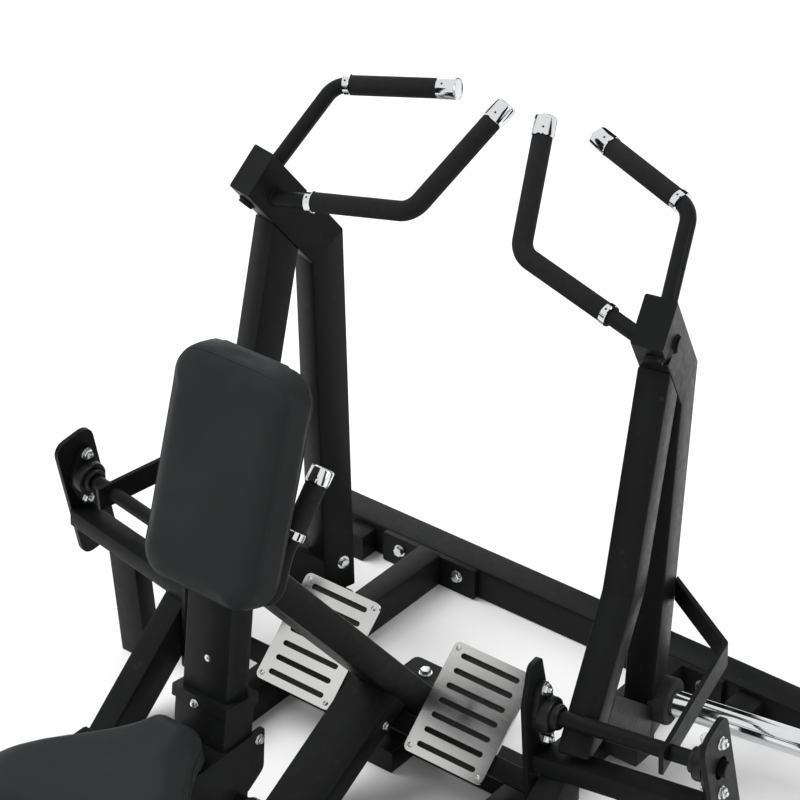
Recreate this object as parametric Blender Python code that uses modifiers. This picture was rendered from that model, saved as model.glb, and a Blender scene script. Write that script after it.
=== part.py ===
"""Plate-loaded row machine with two independent arms, a chest pad and a saddle seat.

The user sits on the saddle facing +Y, chest against the pad and feet on the plates, and pulls
the handles back towards -Y.  +X is the user's right, +Z is up.  Everything is in metres.
The machine is the same on both sides of X = 0, apart from the seat's pull pin on the right.
"""
import math

import bmesh
import bpy
from mathutils import Matrix, Vector

# Clearances and common sections
GAP = 0.0003                  # between faces that touch on the real machine
EDGE_RADIUS = 0.004           # outer corner radius of the square tubes
FLOOR_BEAM_WIDTH = 0.070
FLOOR_BEAM_HEIGHT = 0.073
ROUND_SIDES = 32
WELD_STEP = 0.0015            # a welded tube sits this much inside its neighbour's face
FLOOR_LIFT = 0.002            # of a slanting tube's foot above the floor
OVERRUN = 0.5                 # a slanting tube starts this far out and is cut to its faces

# Floor frame
FRONT_BEAM_REAR_Y = 0.677
FRONT_BEAM_HALF_LENGTH = 0.620
RAIL_INNER_X = 0.273
RAIL_WIDTH = 0.057
RAIL_FLANGE_THICKNESS = 0.012
RAIL_FLANGE_HALF_WIDTH = 0.120
CROSS_BEAM_FRONT_Y = -0.200
CROSS_BEAM_HALF_LENGTH = 0.455
MID_BEAM_REAR_Y = 0.184
MID_BEAM_WIDTH = 0.062
CENTRE_FOOT_WIDTH = 0.074
CENTRE_FOOT_REAR_Y = 0.117
CENTRE_FOOT_FRONT_Y = 0.340
CENTRE_FOOT_HEIGHT = 0.050
SPINE_WIDTH = 0.100
REAR_BEAM_REAR_Y = -0.880
REAR_BEAM_HALF_LENGTH = 0.300
STUB_INNER_X = 0.450          # short stubs behind the ends of the front beam
STUB_WIDTH = 0.060
STUB_DEPTH = 0.045
STUB_HEIGHT = 0.060

# Pivot of the right arm: a point of its axis and the way the axis points, outwards
PIVOT_X = 0.500
PIVOT_Y = 0.090
PIVOT_Z = 0.354
PIVOT_FORWARD = 0.120         # forward run of the axis for each metre outwards
PIVOT_RISE = 0.060            # rise of the axis for each metre outwards
SHAFT_RADIUS = 0.015
SHAFT_INNER_X = 0.386
SHAFT_OUTER_X = 0.769
SHAFT_BEVEL = 0.0015

# Bearing plates and bearings
PLATE_THICKNESS = 0.010
INNER_PLATE_X = 0.400         # outer face of the inner plate, on the axis
OUTER_PLATE_X = 0.745         # inner face of the outer plate, on the axis
PLATE_HALF_WIDTH = 0.046
INNER_PLATE_TOP = 0.107       # heights above the axis
INNER_PLATE_WAIST = 0.035
INNER_PLATE_FOOT = -0.262
INNER_PLATE_TOE = 0.072       # how far its foot reaches forward of the axis
INNER_PLATE_CREST = 0.018     # half the width of its top
OUTER_PLATE_TOP = 0.096
OUTER_PLATE_FOOT = -0.205
OUTER_PLATE_LEAN = 0.230      # forward run of the plate for each metre down
PLATE_CORNER = 0.026
PLATE_SMALL_CORNER = 0.012
BEARING_BOSS_RADIUS = 0.029
BEARING_BOSS_SHARE = 0.62     # of the way from the plate to the collar's end
BEARING_COLLAR_RADIUS = 0.022
BEARING_FLANGE_HALF = 0.064
BEARING_FLANGE_THICKNESS = 0.014
BEARING_EAR_HALF = 0.013
BEARING_WAIST = 0.032
BEARING_WAIST_HALF = 0.014
INNER_BEARING_END_X = 0.4465
OUTER_BEARING_END_X = 0.703

# Raised side frame
RAISED_BEAM_WIDTH = 0.050
RAISED_BEAM_DEPTH = 0.040
RAISED_BEAM_DROP = 0.095      # centre of the beam below the pivot axis
RAISED_BEAM_BACK = 0.008      # centre of the beam behind the pivot axis
LEG_OUTER_X = 0.634
LEG_WIDTH = 0.068
LEG_DEPTH = 0.045
LEG_LEAN = 0.085              # forward run of the leg for each metre down
SIDE_BRACE_X = 0.449
SIDE_BRACE_WIDTH = 0.052
SIDE_BRACE_DEPTH = 0.085
SIDE_BRACE_TOP_Y = 0.048      # a point of the brace's top face
SIDE_BRACE_TOP_Z = 0.229
SIDE_BRACE_SLOPE = 0.83

# Centre frame
STRUT_WIDTH = 0.076
STRUT_DEPTH = 0.060
STRUT_HIGH_Y = -0.220
STRUT_HIGH_Z = 0.636
STRUT_LOW_Y = 0.229
STRUT_LOW_Z = 0.100
STRUT_FOOT_WIDTH = 0.184      # of the bolted plate under the strut
STRUT_FOOT_REAR_Y = 0.192
STRUT_FOOT_FRONT_Y = 0.357
STRUT_FOOT_THICKNESS = 0.008
RAMP_WIDTH = 0.110
RAMP_DEPTH = 0.050
RAMP_TOP_Y = -0.124           # a point of the ramp tube's top face
RAMP_TOP_Z = 0.073
RAMP_SLOPE = 0.56
POST_WIDTH = 0.100
POST_DEPTH = 0.060
POST_REF_Y = -0.3075          # centre line of the post at the reference height
POST_REF_Z = 0.620
POST_LEAN = 0.128             # forward run of the post for each metre up

# Chest pad
PAD_FACE_Y = -0.3228
PAD_FACE_Z = 0.882
PAD_LEAN = 0.3135             # forward run of the pad's face for each metre up
PAD_WIDTH = 0.270
PAD_HEIGHT = 0.440
PAD_THICKNESS = 0.068
PAD_SIDE_HEIGHT = 0.050       # where the crown starts
PAD_CROWN_REACH = 0.050       # how far in from the side the crown runs
PAD_CORNER = 0.065
BOARD_THICKNESS = 0.012
BOARD_MARGIN = 0.012
CUSHION_TUCK = 0.004          # the sides draw in by this much at the back
CROWN_STEPS = 5
PAD_SEAT_GAP = 0.003          # in the post's notch, under the pad's lower end

# Seat
SEAT_FRONT_Y = -0.405
SEAT_LENGTH = 0.390
SEAT_NOSE_HALF = 0.060
SEAT_REAR_HALF = 0.205
SEAT_FLARE_LENGTH = 0.310     # from the nose to the widest place
SEAT_FLARE_STEPS = 8
SEAT_NOSE_CORNER = 0.020
SEAT_REAR_CORNER = 0.110
SEAT_TOP_Z = 0.450
SEAT_THICKNESS = 0.080
SEAT_SIDE_HEIGHT = 0.055
SEAT_CROWN_REACH = 0.045
CARRIAGE_WALL = 0.008
CARRIAGE_LENGTH = 0.227       # of the sleeve along the post
CARRIAGE_TOP_Z = 0.453        # height of the sleeve's top on the post's centre line
CARRIAGE_RUN = 0.0006         # running clearance of the sleeve on the post
BAND_HEIGHT = 0.020           # of the collar band at the sleeve's top
BAND_THICKNESS = 0.005
BRACKET_THICKNESS = 0.008
BRACKET_FRONT_Y = -0.276
BRACKET_REAR_Y = -0.620
BRACKET_REAR_DROP = 0.040     # height of the bracket's rear end
BRACKET_NOSE_BACK = 0.006     # the front edge slopes back by this much going down
BRACKET_NOSE_RISE = 0.026     # height of the front edge's lower end above the foot
BRACKET_FOOT_FRONT = 0.030    # reach of the foot before and behind the pin
BRACKET_FOOT_REAR = 0.060
BRACKET_CORNERS = (0.006, 0.008, 0.020, 0.010, 0.030, 0.008)
TRAY_THICKNESS = 0.008
PIN_RADIUS = 0.008
PIN_KNOB_RADIUS = 0.019
PIN_KNOB_LENGTH = 0.032
PIN_KNOB_EDGE = 0.004
PIN_BARREL_RADIUS = 0.013
PIN_BARREL_LENGTH = 0.026
PIN_TIP_DEPTH = 0.012         # how far the pin's tip reaches into the post
PIN_BELOW_TOP = 0.200
PIN_HOLE_PITCH = 0.030
PIN_HOLE_STEPS = 3            # holes above and below the one in use

# Foot plates
FOOT_PLATE_WIDTH = 0.182
FOOT_PLATE_LENGTH = 0.226
FOOT_PLATE_THICKNESS = 0.006
FOOT_PLATE_INNER_X = 0.090
FOOT_PLATE_TOP_Y = 0.245
FOOT_PLATE_TOP_Z = 0.266
FOOT_PLATE_LOW_Y = 0.080
FOOT_PLATE_LOW_Z = 0.112
FOOT_PLATE_CORNER = 0.012
SLOT_COUNT = 7
SLOT_PITCH = 0.0304
SLOT_WIDTH = 0.011
SLOT_LENGTH = 0.135
FOOT_BAR_SIZE = 0.040
FOOT_BAR_UP = 0.045           # from the plate's low edge to the bar's centre, along the plate

# Arm: a welded frame of square tube in one plane, given in that plane as (forward, up)
ARM_ORIGIN = Vector((0.481, 0.088, 0.353))
ARM_FORWARD = Vector((-0.245, 0.969, 0.0))
ARM_WIDTH = 0.060
ARM_PLANE_FALL = -0.034       # lean of the arm plane's normal
REAR_TUBE_BACK = 0.335
REAR_TUBE_FRONT = 0.410
REAR_TUBE_FOOT = -0.275
HEAD_DEPTH = 0.090
HEAD_SLOPE = (0.6, -0.8)      # the way the head runs, down and forward
HEAD_CAP_TOP = (0.258, 0.736)
HEAD_CAP_LOW = (0.195, 0.669)
FRONT_TUBE_EDGE = ((0.250, 0.596), (0.155, 0.180), (-0.033, -0.062))
FRONT_TUBE_DEPTH = 0.070
FRONT_TUBE_FOOT = (0.050, -0.066)
LINK_UPPER = (0.092, 0.012)
LINK_SLOPE = (0.768, -0.640)
LINK_DEPTH = 0.072

# Plate horn on the arm
HORN_PLACE = (0.376, -0.198)
HORN_RADIUS = 0.025
HORN_LENGTH = 0.430
HORN_FORWARD = 0.140
HORN_RISE = 0.020
HORN_COLLAR_RADIUS = 0.046
HORN_COLLAR_LENGTH = 0.030

# Flat brace from the rear tube to the outer end of the shaft
OUTER_BRACE_HEIGHT = 0.050
OUTER_BRACE_THICKNESS = 0.009
OUTER_BRACE_START = (0.4175, 0.490)
OUTER_BRACE_KNEE = (0.590, 0.388)
OUTER_BRACE_SHAFT_X = 0.654
OUTER_BRACE_TAIL = 0.034      # past the shaft's axis
OUTER_BRACE_RISE = 0.068      # rise of the brace for each metre forward

# Handles
HANDLE_RADIUS = 0.015
GRIP_RADIUS = 0.019
GRIP_BORE_CLEARANCE = 0.0003
RING_RADIUS = 0.0195
RING_LENGTH = 0.013
CAP_RADIUS = 0.0175
CAP_LENGTH = 0.040
CAP_EDGE = 0.003              # small step round the end of a cap
HANDLE_BEND = 0.045
UPPER_HANDLE = ((0.4455, 0.345, 1.0245), (0.395, 0.495, 1.177), (0.154, 0.557, 1.217))
UPPER_GRIP_START = (0.361, 0.503, 1.183)
LOWER_HANDLE_BEND = (0.122, 0.376, 1.050)
LOWER_HANDLE_END = (0.043, 0.555, 1.222)
LOWER_GRIP_START = (0.325, 0.342, 1.011)
LOWER_HANDLE_HEAD = (0.246, 0.642)   # where it crosses the head, in the arm's plane
LOWER_HANDLE_STUB = 0.012

# Fixed grab handles beside the pad
GRAB_BASE = (0.0503, -0.292, 0.660)
GRAB_BEND = (0.105, -0.292, 0.660)
GRAB_END = (0.105, -0.160, 0.880)
GRAB_GRIP_LENGTH = 0.110
GRAB_BEND_RADIUS = 0.030

# Stops under the arms
STOP_WIDTH = 0.075
STOP_REAR_Y = 0.400
STOP_FRONT_Y = 0.455
STOP_LOW_Z = 0.020
STOP_TOP_Z = 0.0765

BLACK = ((0.028, 0.029, 0.030, 1.0), 0.45, 0.0)
FOAM = ((0.012, 0.012, 0.012, 1.0), 0.85, 0.0)
CHROME = ((0.80, 0.81, 0.82, 1.0), 0.12, 1.0)
STEEL = ((0.62, 0.62, 0.61, 1.0), 0.38, 1.0)
VINYL = ((0.030, 0.032, 0.034, 1.0), 0.50, 0.0)
RUBBER = ((0.015, 0.015, 0.015, 1.0), 0.80, 0.0)
PLYWOOD = ((0.05, 0.045, 0.04, 1.0), 0.75, 0.0)

RIGHT = 1
LEFT = -1
SIDE_NAME = {RIGHT: "right", LEFT: "left"}


def start_scene():
    """Empty the scene and make the collections for the machine and for its cutters."""
    for item in list(bpy.data.objects):
        bpy.data.objects.remove(item)
    parts = bpy.data.collections.new("plate_loaded_row_machine")
    cutters = bpy.data.collections.new("cutters")
    bpy.context.scene.collection.children.link(parts)
    bpy.context.scene.collection.children.link(cutters)
    return parts, cutters


PARTS, CUTTERS = start_scene()


def finish(name, material):
    """The named sub-part's own material."""
    color, roughness, metallic = material
    surface = bpy.data.materials.new(name)
    surface.use_nodes = True
    shader = surface.node_tree.nodes["Principled BSDF"]
    shader.inputs["Base Color"].default_value = color
    shader.inputs["Roughness"].default_value = roughness
    shader.inputs["Metallic"].default_value = metallic
    return surface


def place(name, mesh, material, collection=PARTS):
    """Put a mesh into the scene as a named object."""
    item = bpy.data.objects.new(name, mesh)
    collection.objects.link(item)
    if material is not None:
        mesh.materials.append(finish(name, material))
    return item


def mirrored(side, point):
    """A point of the right half, or its mirror image on the left."""
    return Vector((side * point[0], point[1], point[2]))


def frame_matrix(origin, along, across):
    """Local Z runs along, local X across; the axes are squared up and right-handed."""
    z_axis = Vector(along).normalized()
    x_axis = Vector(across)
    x_axis = (x_axis - z_axis * x_axis.dot(z_axis)).normalized()
    y_axis = z_axis.cross(x_axis)
    turn = Matrix((x_axis, y_axis, z_axis)).transposed().to_4x4()
    return Matrix.Translation(origin) @ turn


def close_cut(mesh_edit, point, normal):
    """Cut away what lies beyond a plane and close the cut with a flat face."""
    geometry = mesh_edit.verts[:] + mesh_edit.edges[:] + mesh_edit.faces[:]
    cut = bmesh.ops.bisect_plane(mesh_edit, geom=geometry, plane_co=point, plane_no=normal,
                                 clear_outer=True)
    rim = [item for item in cut["geom_cut"] if isinstance(item, bmesh.types.BMEdge)]
    bmesh.ops.edgeloop_fill(mesh_edit, edges=rim)


def to_mesh(mesh_edit, name):
    """Turn an edited mesh into a finished one with its faces pointing out."""
    bmesh.ops.recalc_face_normals(mesh_edit, faces=mesh_edit.faces)
    mesh = bpy.data.meshes.new(name)
    mesh_edit.to_mesh(mesh)
    mesh_edit.free()
    return mesh


def tube(name, start, end, width, depth, across, material, cuts=(), radius=EDGE_RADIUS,
         collection=PARTS):
    """A closed square tube from start to end, its long edges rounded, cut by planes."""
    start = Vector(start)
    end = Vector(end)
    length = (end - start).length
    mesh_edit = bmesh.new()
    bmesh.ops.create_cube(mesh_edit, size=1.0)
    bmesh.ops.scale(mesh_edit, vec=(width, depth, length), verts=mesh_edit.verts)
    if radius:
        long_edges = [edge for edge in mesh_edit.edges
                      if abs(edge.verts[0].co.z - edge.verts[1].co.z) > length / 2]
        bmesh.ops.bevel(mesh_edit, geom=long_edges, offset=radius, segments=2, profile=0.5,
                        affect="EDGES", material=-1)
    matrix = frame_matrix((start + end) / 2, end - start, across)
    bmesh.ops.transform(mesh_edit, matrix=matrix, verts=mesh_edit.verts)
    for point, normal in cuts:
        close_cut(mesh_edit, Vector(point), Vector(normal))
    return place(name, to_mesh(mesh_edit, name), material, collection)


def block(name, low, high, material, radius=0.0, collection=PARTS):
    """An upright box between two corners, its edges along Y rounded."""
    low = Vector(low)
    high = Vector(high)
    middle = (low + high) / 2
    start = (middle.x, low.y, middle.z)
    end = (middle.x, high.y, middle.z)
    return tube(name, start, end, high.x - low.x, high.z - low.z, (1, 0, 0), material,
                radius=radius, collection=collection)


def cross_tube(name, low, high, material, collection=PARTS):
    """A square tube along X between two corners."""
    low = Vector(low)
    high = Vector(high)
    middle = (low + high) / 2
    return tube(name, (low.x, middle.y, middle.z), (high.x, middle.y, middle.z),
                high.z - low.z, high.y - low.y, (0, 0, 1), material, collection=collection)


def rod(name, start, end, radius, material, cuts=(), sides=ROUND_SIDES, collection=PARTS):
    """A round bar from start to end."""
    start = Vector(start)
    end = Vector(end)
    mesh_edit = bmesh.new()
    bmesh.ops.create_cone(mesh_edit, cap_ends=True, segments=sides, radius1=radius,
                          radius2=radius, depth=(end - start).length)
    matrix = frame_matrix((start + end) / 2, end - start, (0, 0, 1))
    bmesh.ops.transform(mesh_edit, matrix=matrix, verts=mesh_edit.verts)
    for point, normal in cuts:
        close_cut(mesh_edit, Vector(point), Vector(normal))
    item = place(name, to_mesh(mesh_edit, name), material, collection)
    smooth(item)
    return item


def smooth(item):
    """Shade the round faces smooth and keep the sharp edges."""
    item.data.shade_smooth()
    item.data.set_sharp_from_angle(angle=math.radians(35))


def turned(name, profile, origin, along, material, sides=ROUND_SIDES):
    """A turned solid: its (radius, height) profile runs down the outer side."""
    mesh = bpy.data.meshes.new(name)
    points = [(radius, 0.0, height) for radius, height in profile]
    closed = profile[0][0] > 0
    edges = [(index, index + 1) for index in range(len(points) - 1)]
    if closed:
        edges.append((len(points) - 1, 0))
    mesh.from_pydata(points, edges, [])
    item = place(name, mesh, material)
    screw = item.modifiers.new("turn", "SCREW")
    screw.steps = sides
    screw.render_steps = sides
    screw.use_merge_vertices = True
    screw.merge_threshold = 0.00001
    screw.use_smooth_shade = True
    item.matrix_world = frame_matrix(Vector(origin), along, (0, 0, 1))
    return item


def arc(centre, radius, first, last, steps):
    """Points of an arc, angles in degrees."""
    points = []
    for step in range(steps + 1):
        angle = math.radians(first + (last - first) * step / steps)
        points.append((centre[0] + radius * math.cos(angle),
                       centre[1] + radius * math.sin(angle)))
    return points


def rounded_outline(corners, radii, steps=4):
    """A closed outline whose corners are rounded, each by its own radius."""
    points = []
    count = len(corners)
    for index, corner in enumerate(corners):
        here = Vector(corner)
        before = Vector(corners[index - 1])
        after = Vector(corners[(index + 1) % count])
        radius = radii[index]
        if radius <= 0:
            points.append(here.to_tuple())
            continue
        to_before = (before - here).normalized()
        to_after = (after - here).normalized()
        half = math.acos(max(-1.0, min(1.0, to_before.dot(to_after)))) / 2
        reach = radius / math.tan(half)
        bisector = (to_before + to_after).normalized()
        centre = here + bisector * (radius / math.sin(half))
        first = here + to_before * reach - centre
        last = here + to_after * reach - centre
        sweep = first.angle_signed(last)
        for step in range(steps + 1):
            turn = Matrix.Rotation(-sweep * step / steps, 2)
            points.append((centre + turn @ first).to_tuple())
    return points


def slab(name, outline, holes, thickness, matrix, material, collection=PARTS):
    """A flat outline with holes, half its thickness to each side of its plane."""
    curve = bpy.data.curves.new(name, "CURVE")
    curve.dimensions = "2D"
    curve.fill_mode = "BOTH"
    curve.extrude = thickness / 2
    for loop in [outline] + list(holes):
        spline = curve.splines.new("POLY")
        spline.points.add(len(loop) - 1)
        for point, (x_value, y_value) in zip(spline.points, loop):
            point.co = (x_value, y_value, 0.0, 1.0)
        spline.use_cyclic_u = True
    item = bpy.data.objects.new(name, curve)
    item.matrix_world = matrix
    collection.objects.link(item)
    return as_mesh(item, name, material, collection)


def as_mesh(item, name, material, collection=PARTS):
    """Turn a curve object into a closed mesh object in the same place."""
    bpy.context.view_layer.update()
    evaluated = item.evaluated_get(bpy.context.evaluated_depsgraph_get())
    mesh = bpy.data.meshes.new_from_object(evaluated)
    matrix = item.matrix_world.copy()
    bpy.data.objects.remove(item)
    mesh_edit = bmesh.new()
    mesh_edit.from_mesh(mesh)
    bmesh.ops.remove_doubles(mesh_edit, verts=mesh_edit.verts, dist=0.00002)
    bmesh.ops.transform(mesh_edit, matrix=matrix, verts=mesh_edit.verts)
    bmesh.ops.recalc_face_normals(mesh_edit, faces=mesh_edit.faces)
    mesh_edit.to_mesh(mesh)
    mesh_edit.free()
    mesh.materials.clear()
    return place(name, mesh, material, collection)


def bent_path(corners, radius, steps=6):
    """A path through the corners, with an arc of one radius at each inner corner."""
    points = [Vector(corners[0])]
    for before, here, after in zip(corners, corners[1:], corners[2:]):
        here = Vector(here)
        to_before = (Vector(before) - here).normalized()
        to_after = (Vector(after) - here).normalized()
        half = to_before.angle(to_after) / 2
        reach = radius / math.tan(half)
        centre = here + (to_before + to_after).normalized() * (radius / math.sin(half))
        first = here + to_before * reach - centre
        axis = first.cross(here + to_after * reach - centre).normalized()
        sweep = first.angle(here + to_after * reach - centre)
        for step in range(steps + 1):
            points.append(centre + Matrix.Rotation(sweep * step / steps, 3, axis) @ first)
    points.append(Vector(corners[-1]))
    return points


def path_length(points):
    """The length along a path."""
    return sum((after - before).length for before, after in zip(points, points[1:]))


def stretch(points, first, last):
    """The part of a path between two distances along it."""
    part = []
    travelled = 0.0
    for before, after in zip(points, points[1:]):
        step = (after - before).length
        for distance in (first, last):
            if travelled <= distance < travelled + step:
                cut = before + (after - before) * ((distance - travelled) / step)
                if distance == first:
                    part = [cut]
                else:
                    return part + [cut]
        travelled += step
        if part:
            part.append(after)
    return part


def distance_along(points, place_near):
    """How far along a path the point nearest to a place lies."""
    best = None
    travelled = 0.0
    for before, after in zip(points, points[1:]):
        run = after - before
        share = max(0.0, min(1.0, (Vector(place_near) - before).dot(run) / run.length_squared))
        miss = (before + run * share - Vector(place_near)).length
        if best is None or miss < best[0]:
            best = (miss, travelled + share * run.length)
        travelled += run.length
    return best[1]


def swept(name, sections, material, collection=PARTS, resolution=3):
    """A round tube through (point, radius) sections, with filled ends."""
    curve = bpy.data.curves.new(name, "CURVE")
    curve.dimensions = "3D"
    curve.bevel_depth = 1.0
    curve.bevel_resolution = resolution
    curve.use_fill_caps = True
    spline = curve.splines.new("POLY")
    spline.points.add(len(sections) - 1)
    for point, (position, radius) in zip(spline.points, sections):
        point.co = (position[0], position[1], position[2], 1.0)
        point.radius = radius
    item = bpy.data.objects.new(name, curve)
    collection.objects.link(item)
    item = as_mesh(item, name, material, collection)
    smooth(item)
    return item


def combine(item, other, operation):
    """Cut the other solid out of the item, or join it to the item."""
    other.hide_render = True
    other.display_type = "WIRE"
    change = item.modifiers.new(operation.lower(), "BOOLEAN")
    change.operation = operation
    change.solver = "EXACT"
    change.object = other
    return item


def pivot_point(side, distance_out):
    """The point of a pivot axis at a distance from the machine's middle plane."""
    run = distance_out - PIVOT_X
    return mirrored(side, (distance_out, PIVOT_Y + PIVOT_FORWARD * run, PIVOT_Z + PIVOT_RISE * run))


def pivot_direction(side):
    """The pivot axis, pointing away from the middle plane."""
    return mirrored(side, (1.0, PIVOT_FORWARD, PIVOT_RISE)).normalized()


def arm_normal(side):
    """The normal of the arm's plane, pointing away from the middle plane."""
    return mirrored(side, (ARM_FORWARD.y, -ARM_FORWARD.x, ARM_PLANE_FALL)).normalized()


def arm_up(side):
    """The up direction in the arm's plane."""
    forward = arm_forward(side)
    up = arm_normal(side).cross(forward) * side
    return up.normalized()


def arm_forward(side):
    """The forward direction in the arm's plane."""
    return mirrored(side, ARM_FORWARD).normalized()


def arm_point(side, forward, up, out=0.0):
    """A point given in the arm's plane."""
    origin = mirrored(side, ARM_ORIGIN)
    return origin + arm_forward(side) * forward + arm_up(side) * up + arm_normal(side) * out


def arm_vector(side, forward, up):
    """A direction given in the arm's plane."""
    return arm_forward(side) * forward + arm_up(side) * up


def arm_matrix(side):
    """Local X forward and local Y up in the arm's plane."""
    forward = arm_forward(side)
    up = arm_up(side)
    turn = Matrix((forward, up, forward.cross(up))).transposed().to_4x4()
    return Matrix.Translation(mirrored(side, ARM_ORIGIN)) @ turn


def line_meet(point_a, way_a, point_b, way_b):
    """Where two lines of the arm's plane meet."""
    cross = way_a[0] * way_b[1] - way_a[1] * way_b[0]
    gap_x = point_b[0] - point_a[0]
    gap_y = point_b[1] - point_a[1]
    run = (gap_x * way_b[1] - gap_y * way_b[0]) / cross
    return (point_a[0] + way_a[0] * run, point_a[1] + way_a[1] * run)


def solid_outline(name, outline, thickness, matrix, material, radius=EDGE_RADIUS):
    """An outline made into a solid of one thickness, its sharp edges rounded."""
    item = slab(name, outline, [], thickness, matrix, material)
    mesh_edit = bmesh.new()
    mesh_edit.from_mesh(item.data)
    bmesh.ops.dissolve_limit(mesh_edit, angle_limit=math.radians(1), verts=mesh_edit.verts,
                             edges=mesh_edit.edges)
    mesh_edit.to_mesh(item.data)
    mesh_edit.free()
    bevel = item.modifiers.new("edges", "BEVEL")
    bevel.width = radius
    bevel.segments = 2
    bevel.limit_method = "ANGLE"
    bevel.angle_limit = math.radians(60)
    return item


def build_floor():
    """The beams that lie on the floor."""
    top = FLOOR_BEAM_HEIGHT
    front_y = FRONT_BEAM_REAR_Y
    front = cross_tube("front_beam", (-FRONT_BEAM_HALF_LENGTH, front_y, 0),
                       (FRONT_BEAM_HALF_LENGTH, front_y + FLOOR_BEAM_WIDTH, top), BLACK)
    for inner_x in (STUB_INNER_X, -STUB_INNER_X - STUB_WIDTH):
        stub = block("beam_stub", (inner_x, front_y - STUB_DEPTH, WELD_STEP),
                     (inner_x + STUB_WIDTH, front_y + FLOOR_BEAM_WIDTH / 4, STUB_HEIGHT), None,
                     EDGE_RADIUS, CUTTERS)
        combine(front, stub, "UNION")
    cross_rear = CROSS_BEAM_FRONT_Y - FLOOR_BEAM_WIDTH
    frame = cross_tube("rear_frame", (-CROSS_BEAM_HALF_LENGTH, cross_rear, 0),
                       (CROSS_BEAM_HALF_LENGTH, CROSS_BEAM_FRONT_Y, top), BLACK)
    rear_front = REAR_BEAM_REAR_Y + FLOOR_BEAM_WIDTH
    foot = cross_tube("rear_foot", (-REAR_BEAM_HALF_LENGTH, REAR_BEAM_REAR_Y, 0),
                      (REAR_BEAM_HALF_LENGTH, rear_front, top), None, CUTTERS)
    overlap = FLOOR_BEAM_WIDTH / 2
    spine = block("spine", (-SPINE_WIDTH / 2, rear_front - overlap, WELD_STEP),
                  (SPINE_WIDTH / 2, cross_rear + overlap, top - WELD_STEP), None, EDGE_RADIUS,
                  CUTTERS)
    combine(foot, spine, "UNION")
    combine(frame, foot, "UNION")
    for side in (LEFT, RIGHT):
        build_rail(side)
    build_mid_beam()


def build_rail(side):
    """A side rail with the bolted flange at its front end."""
    name = SIDE_NAME[side] + "_rail"
    centre = side * (RAIL_INNER_X + RAIL_WIDTH / 2)
    flange_rear = FRONT_BEAM_REAR_Y - GAP - RAIL_FLANGE_THICKNESS
    rail = block(name, (centre - RAIL_WIDTH / 2, CROSS_BEAM_FRONT_Y + GAP, 0),
                 (centre + RAIL_WIDTH / 2, flange_rear + RAIL_FLANGE_THICKNESS / 2,
                  FLOOR_BEAM_HEIGHT), BLACK, EDGE_RADIUS)
    flange = block(name + "_flange", (centre - RAIL_FLANGE_HALF_WIDTH, flange_rear, WELD_STEP),
                   (centre + RAIL_FLANGE_HALF_WIDTH, flange_rear + RAIL_FLANGE_THICKNESS,
                    FLOOR_BEAM_HEIGHT - WELD_STEP), None, EDGE_RADIUS, CUTTERS)
    combine(rail, flange, "UNION")


def build_mid_beam():
    """The cross member between the rails, with the strut's foot on the middle line."""
    reach = RAIL_INNER_X - GAP
    beam = cross_tube("mid_beam", (-reach, MID_BEAM_REAR_Y, 0),
                      (reach, MID_BEAM_REAR_Y + MID_BEAM_WIDTH, FLOOR_BEAM_HEIGHT), BLACK)
    half = CENTRE_FOOT_WIDTH / 2
    middle_y = MID_BEAM_REAR_Y + MID_BEAM_WIDTH / 2
    rear_foot = block("rear_strut_foot", (-half, CENTRE_FOOT_REAR_Y, WELD_STEP),
                      (half, middle_y, CENTRE_FOOT_HEIGHT), None, EDGE_RADIUS, CUTTERS)
    front_foot = block("front_strut_foot", (-half, middle_y, WELD_STEP),
                       (half, CENTRE_FOOT_FRONT_Y, FLOOR_BEAM_HEIGHT - WELD_STEP), None,
                       EDGE_RADIUS, CUTTERS)
    combine(beam, rear_foot, "UNION")
    combine(beam, front_foot, "UNION")


def post_y(height):
    """The post's centre line at a height."""
    return POST_REF_Y + (height - POST_REF_Z) * POST_LEAN


def pad_direction():
    """The way up along the pad's face."""
    return Vector((0, PAD_LEAN, 1)).normalized()


def pad_normal():
    """The pad's normal, from the user towards the post."""
    return Vector((0, 1, -PAD_LEAN)).normalized()


def pad_layer(depth):
    """The pad's middle, at a depth below its face."""
    return Vector((0, PAD_FACE_Y, PAD_FACE_Z)) + pad_normal() * depth


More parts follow.
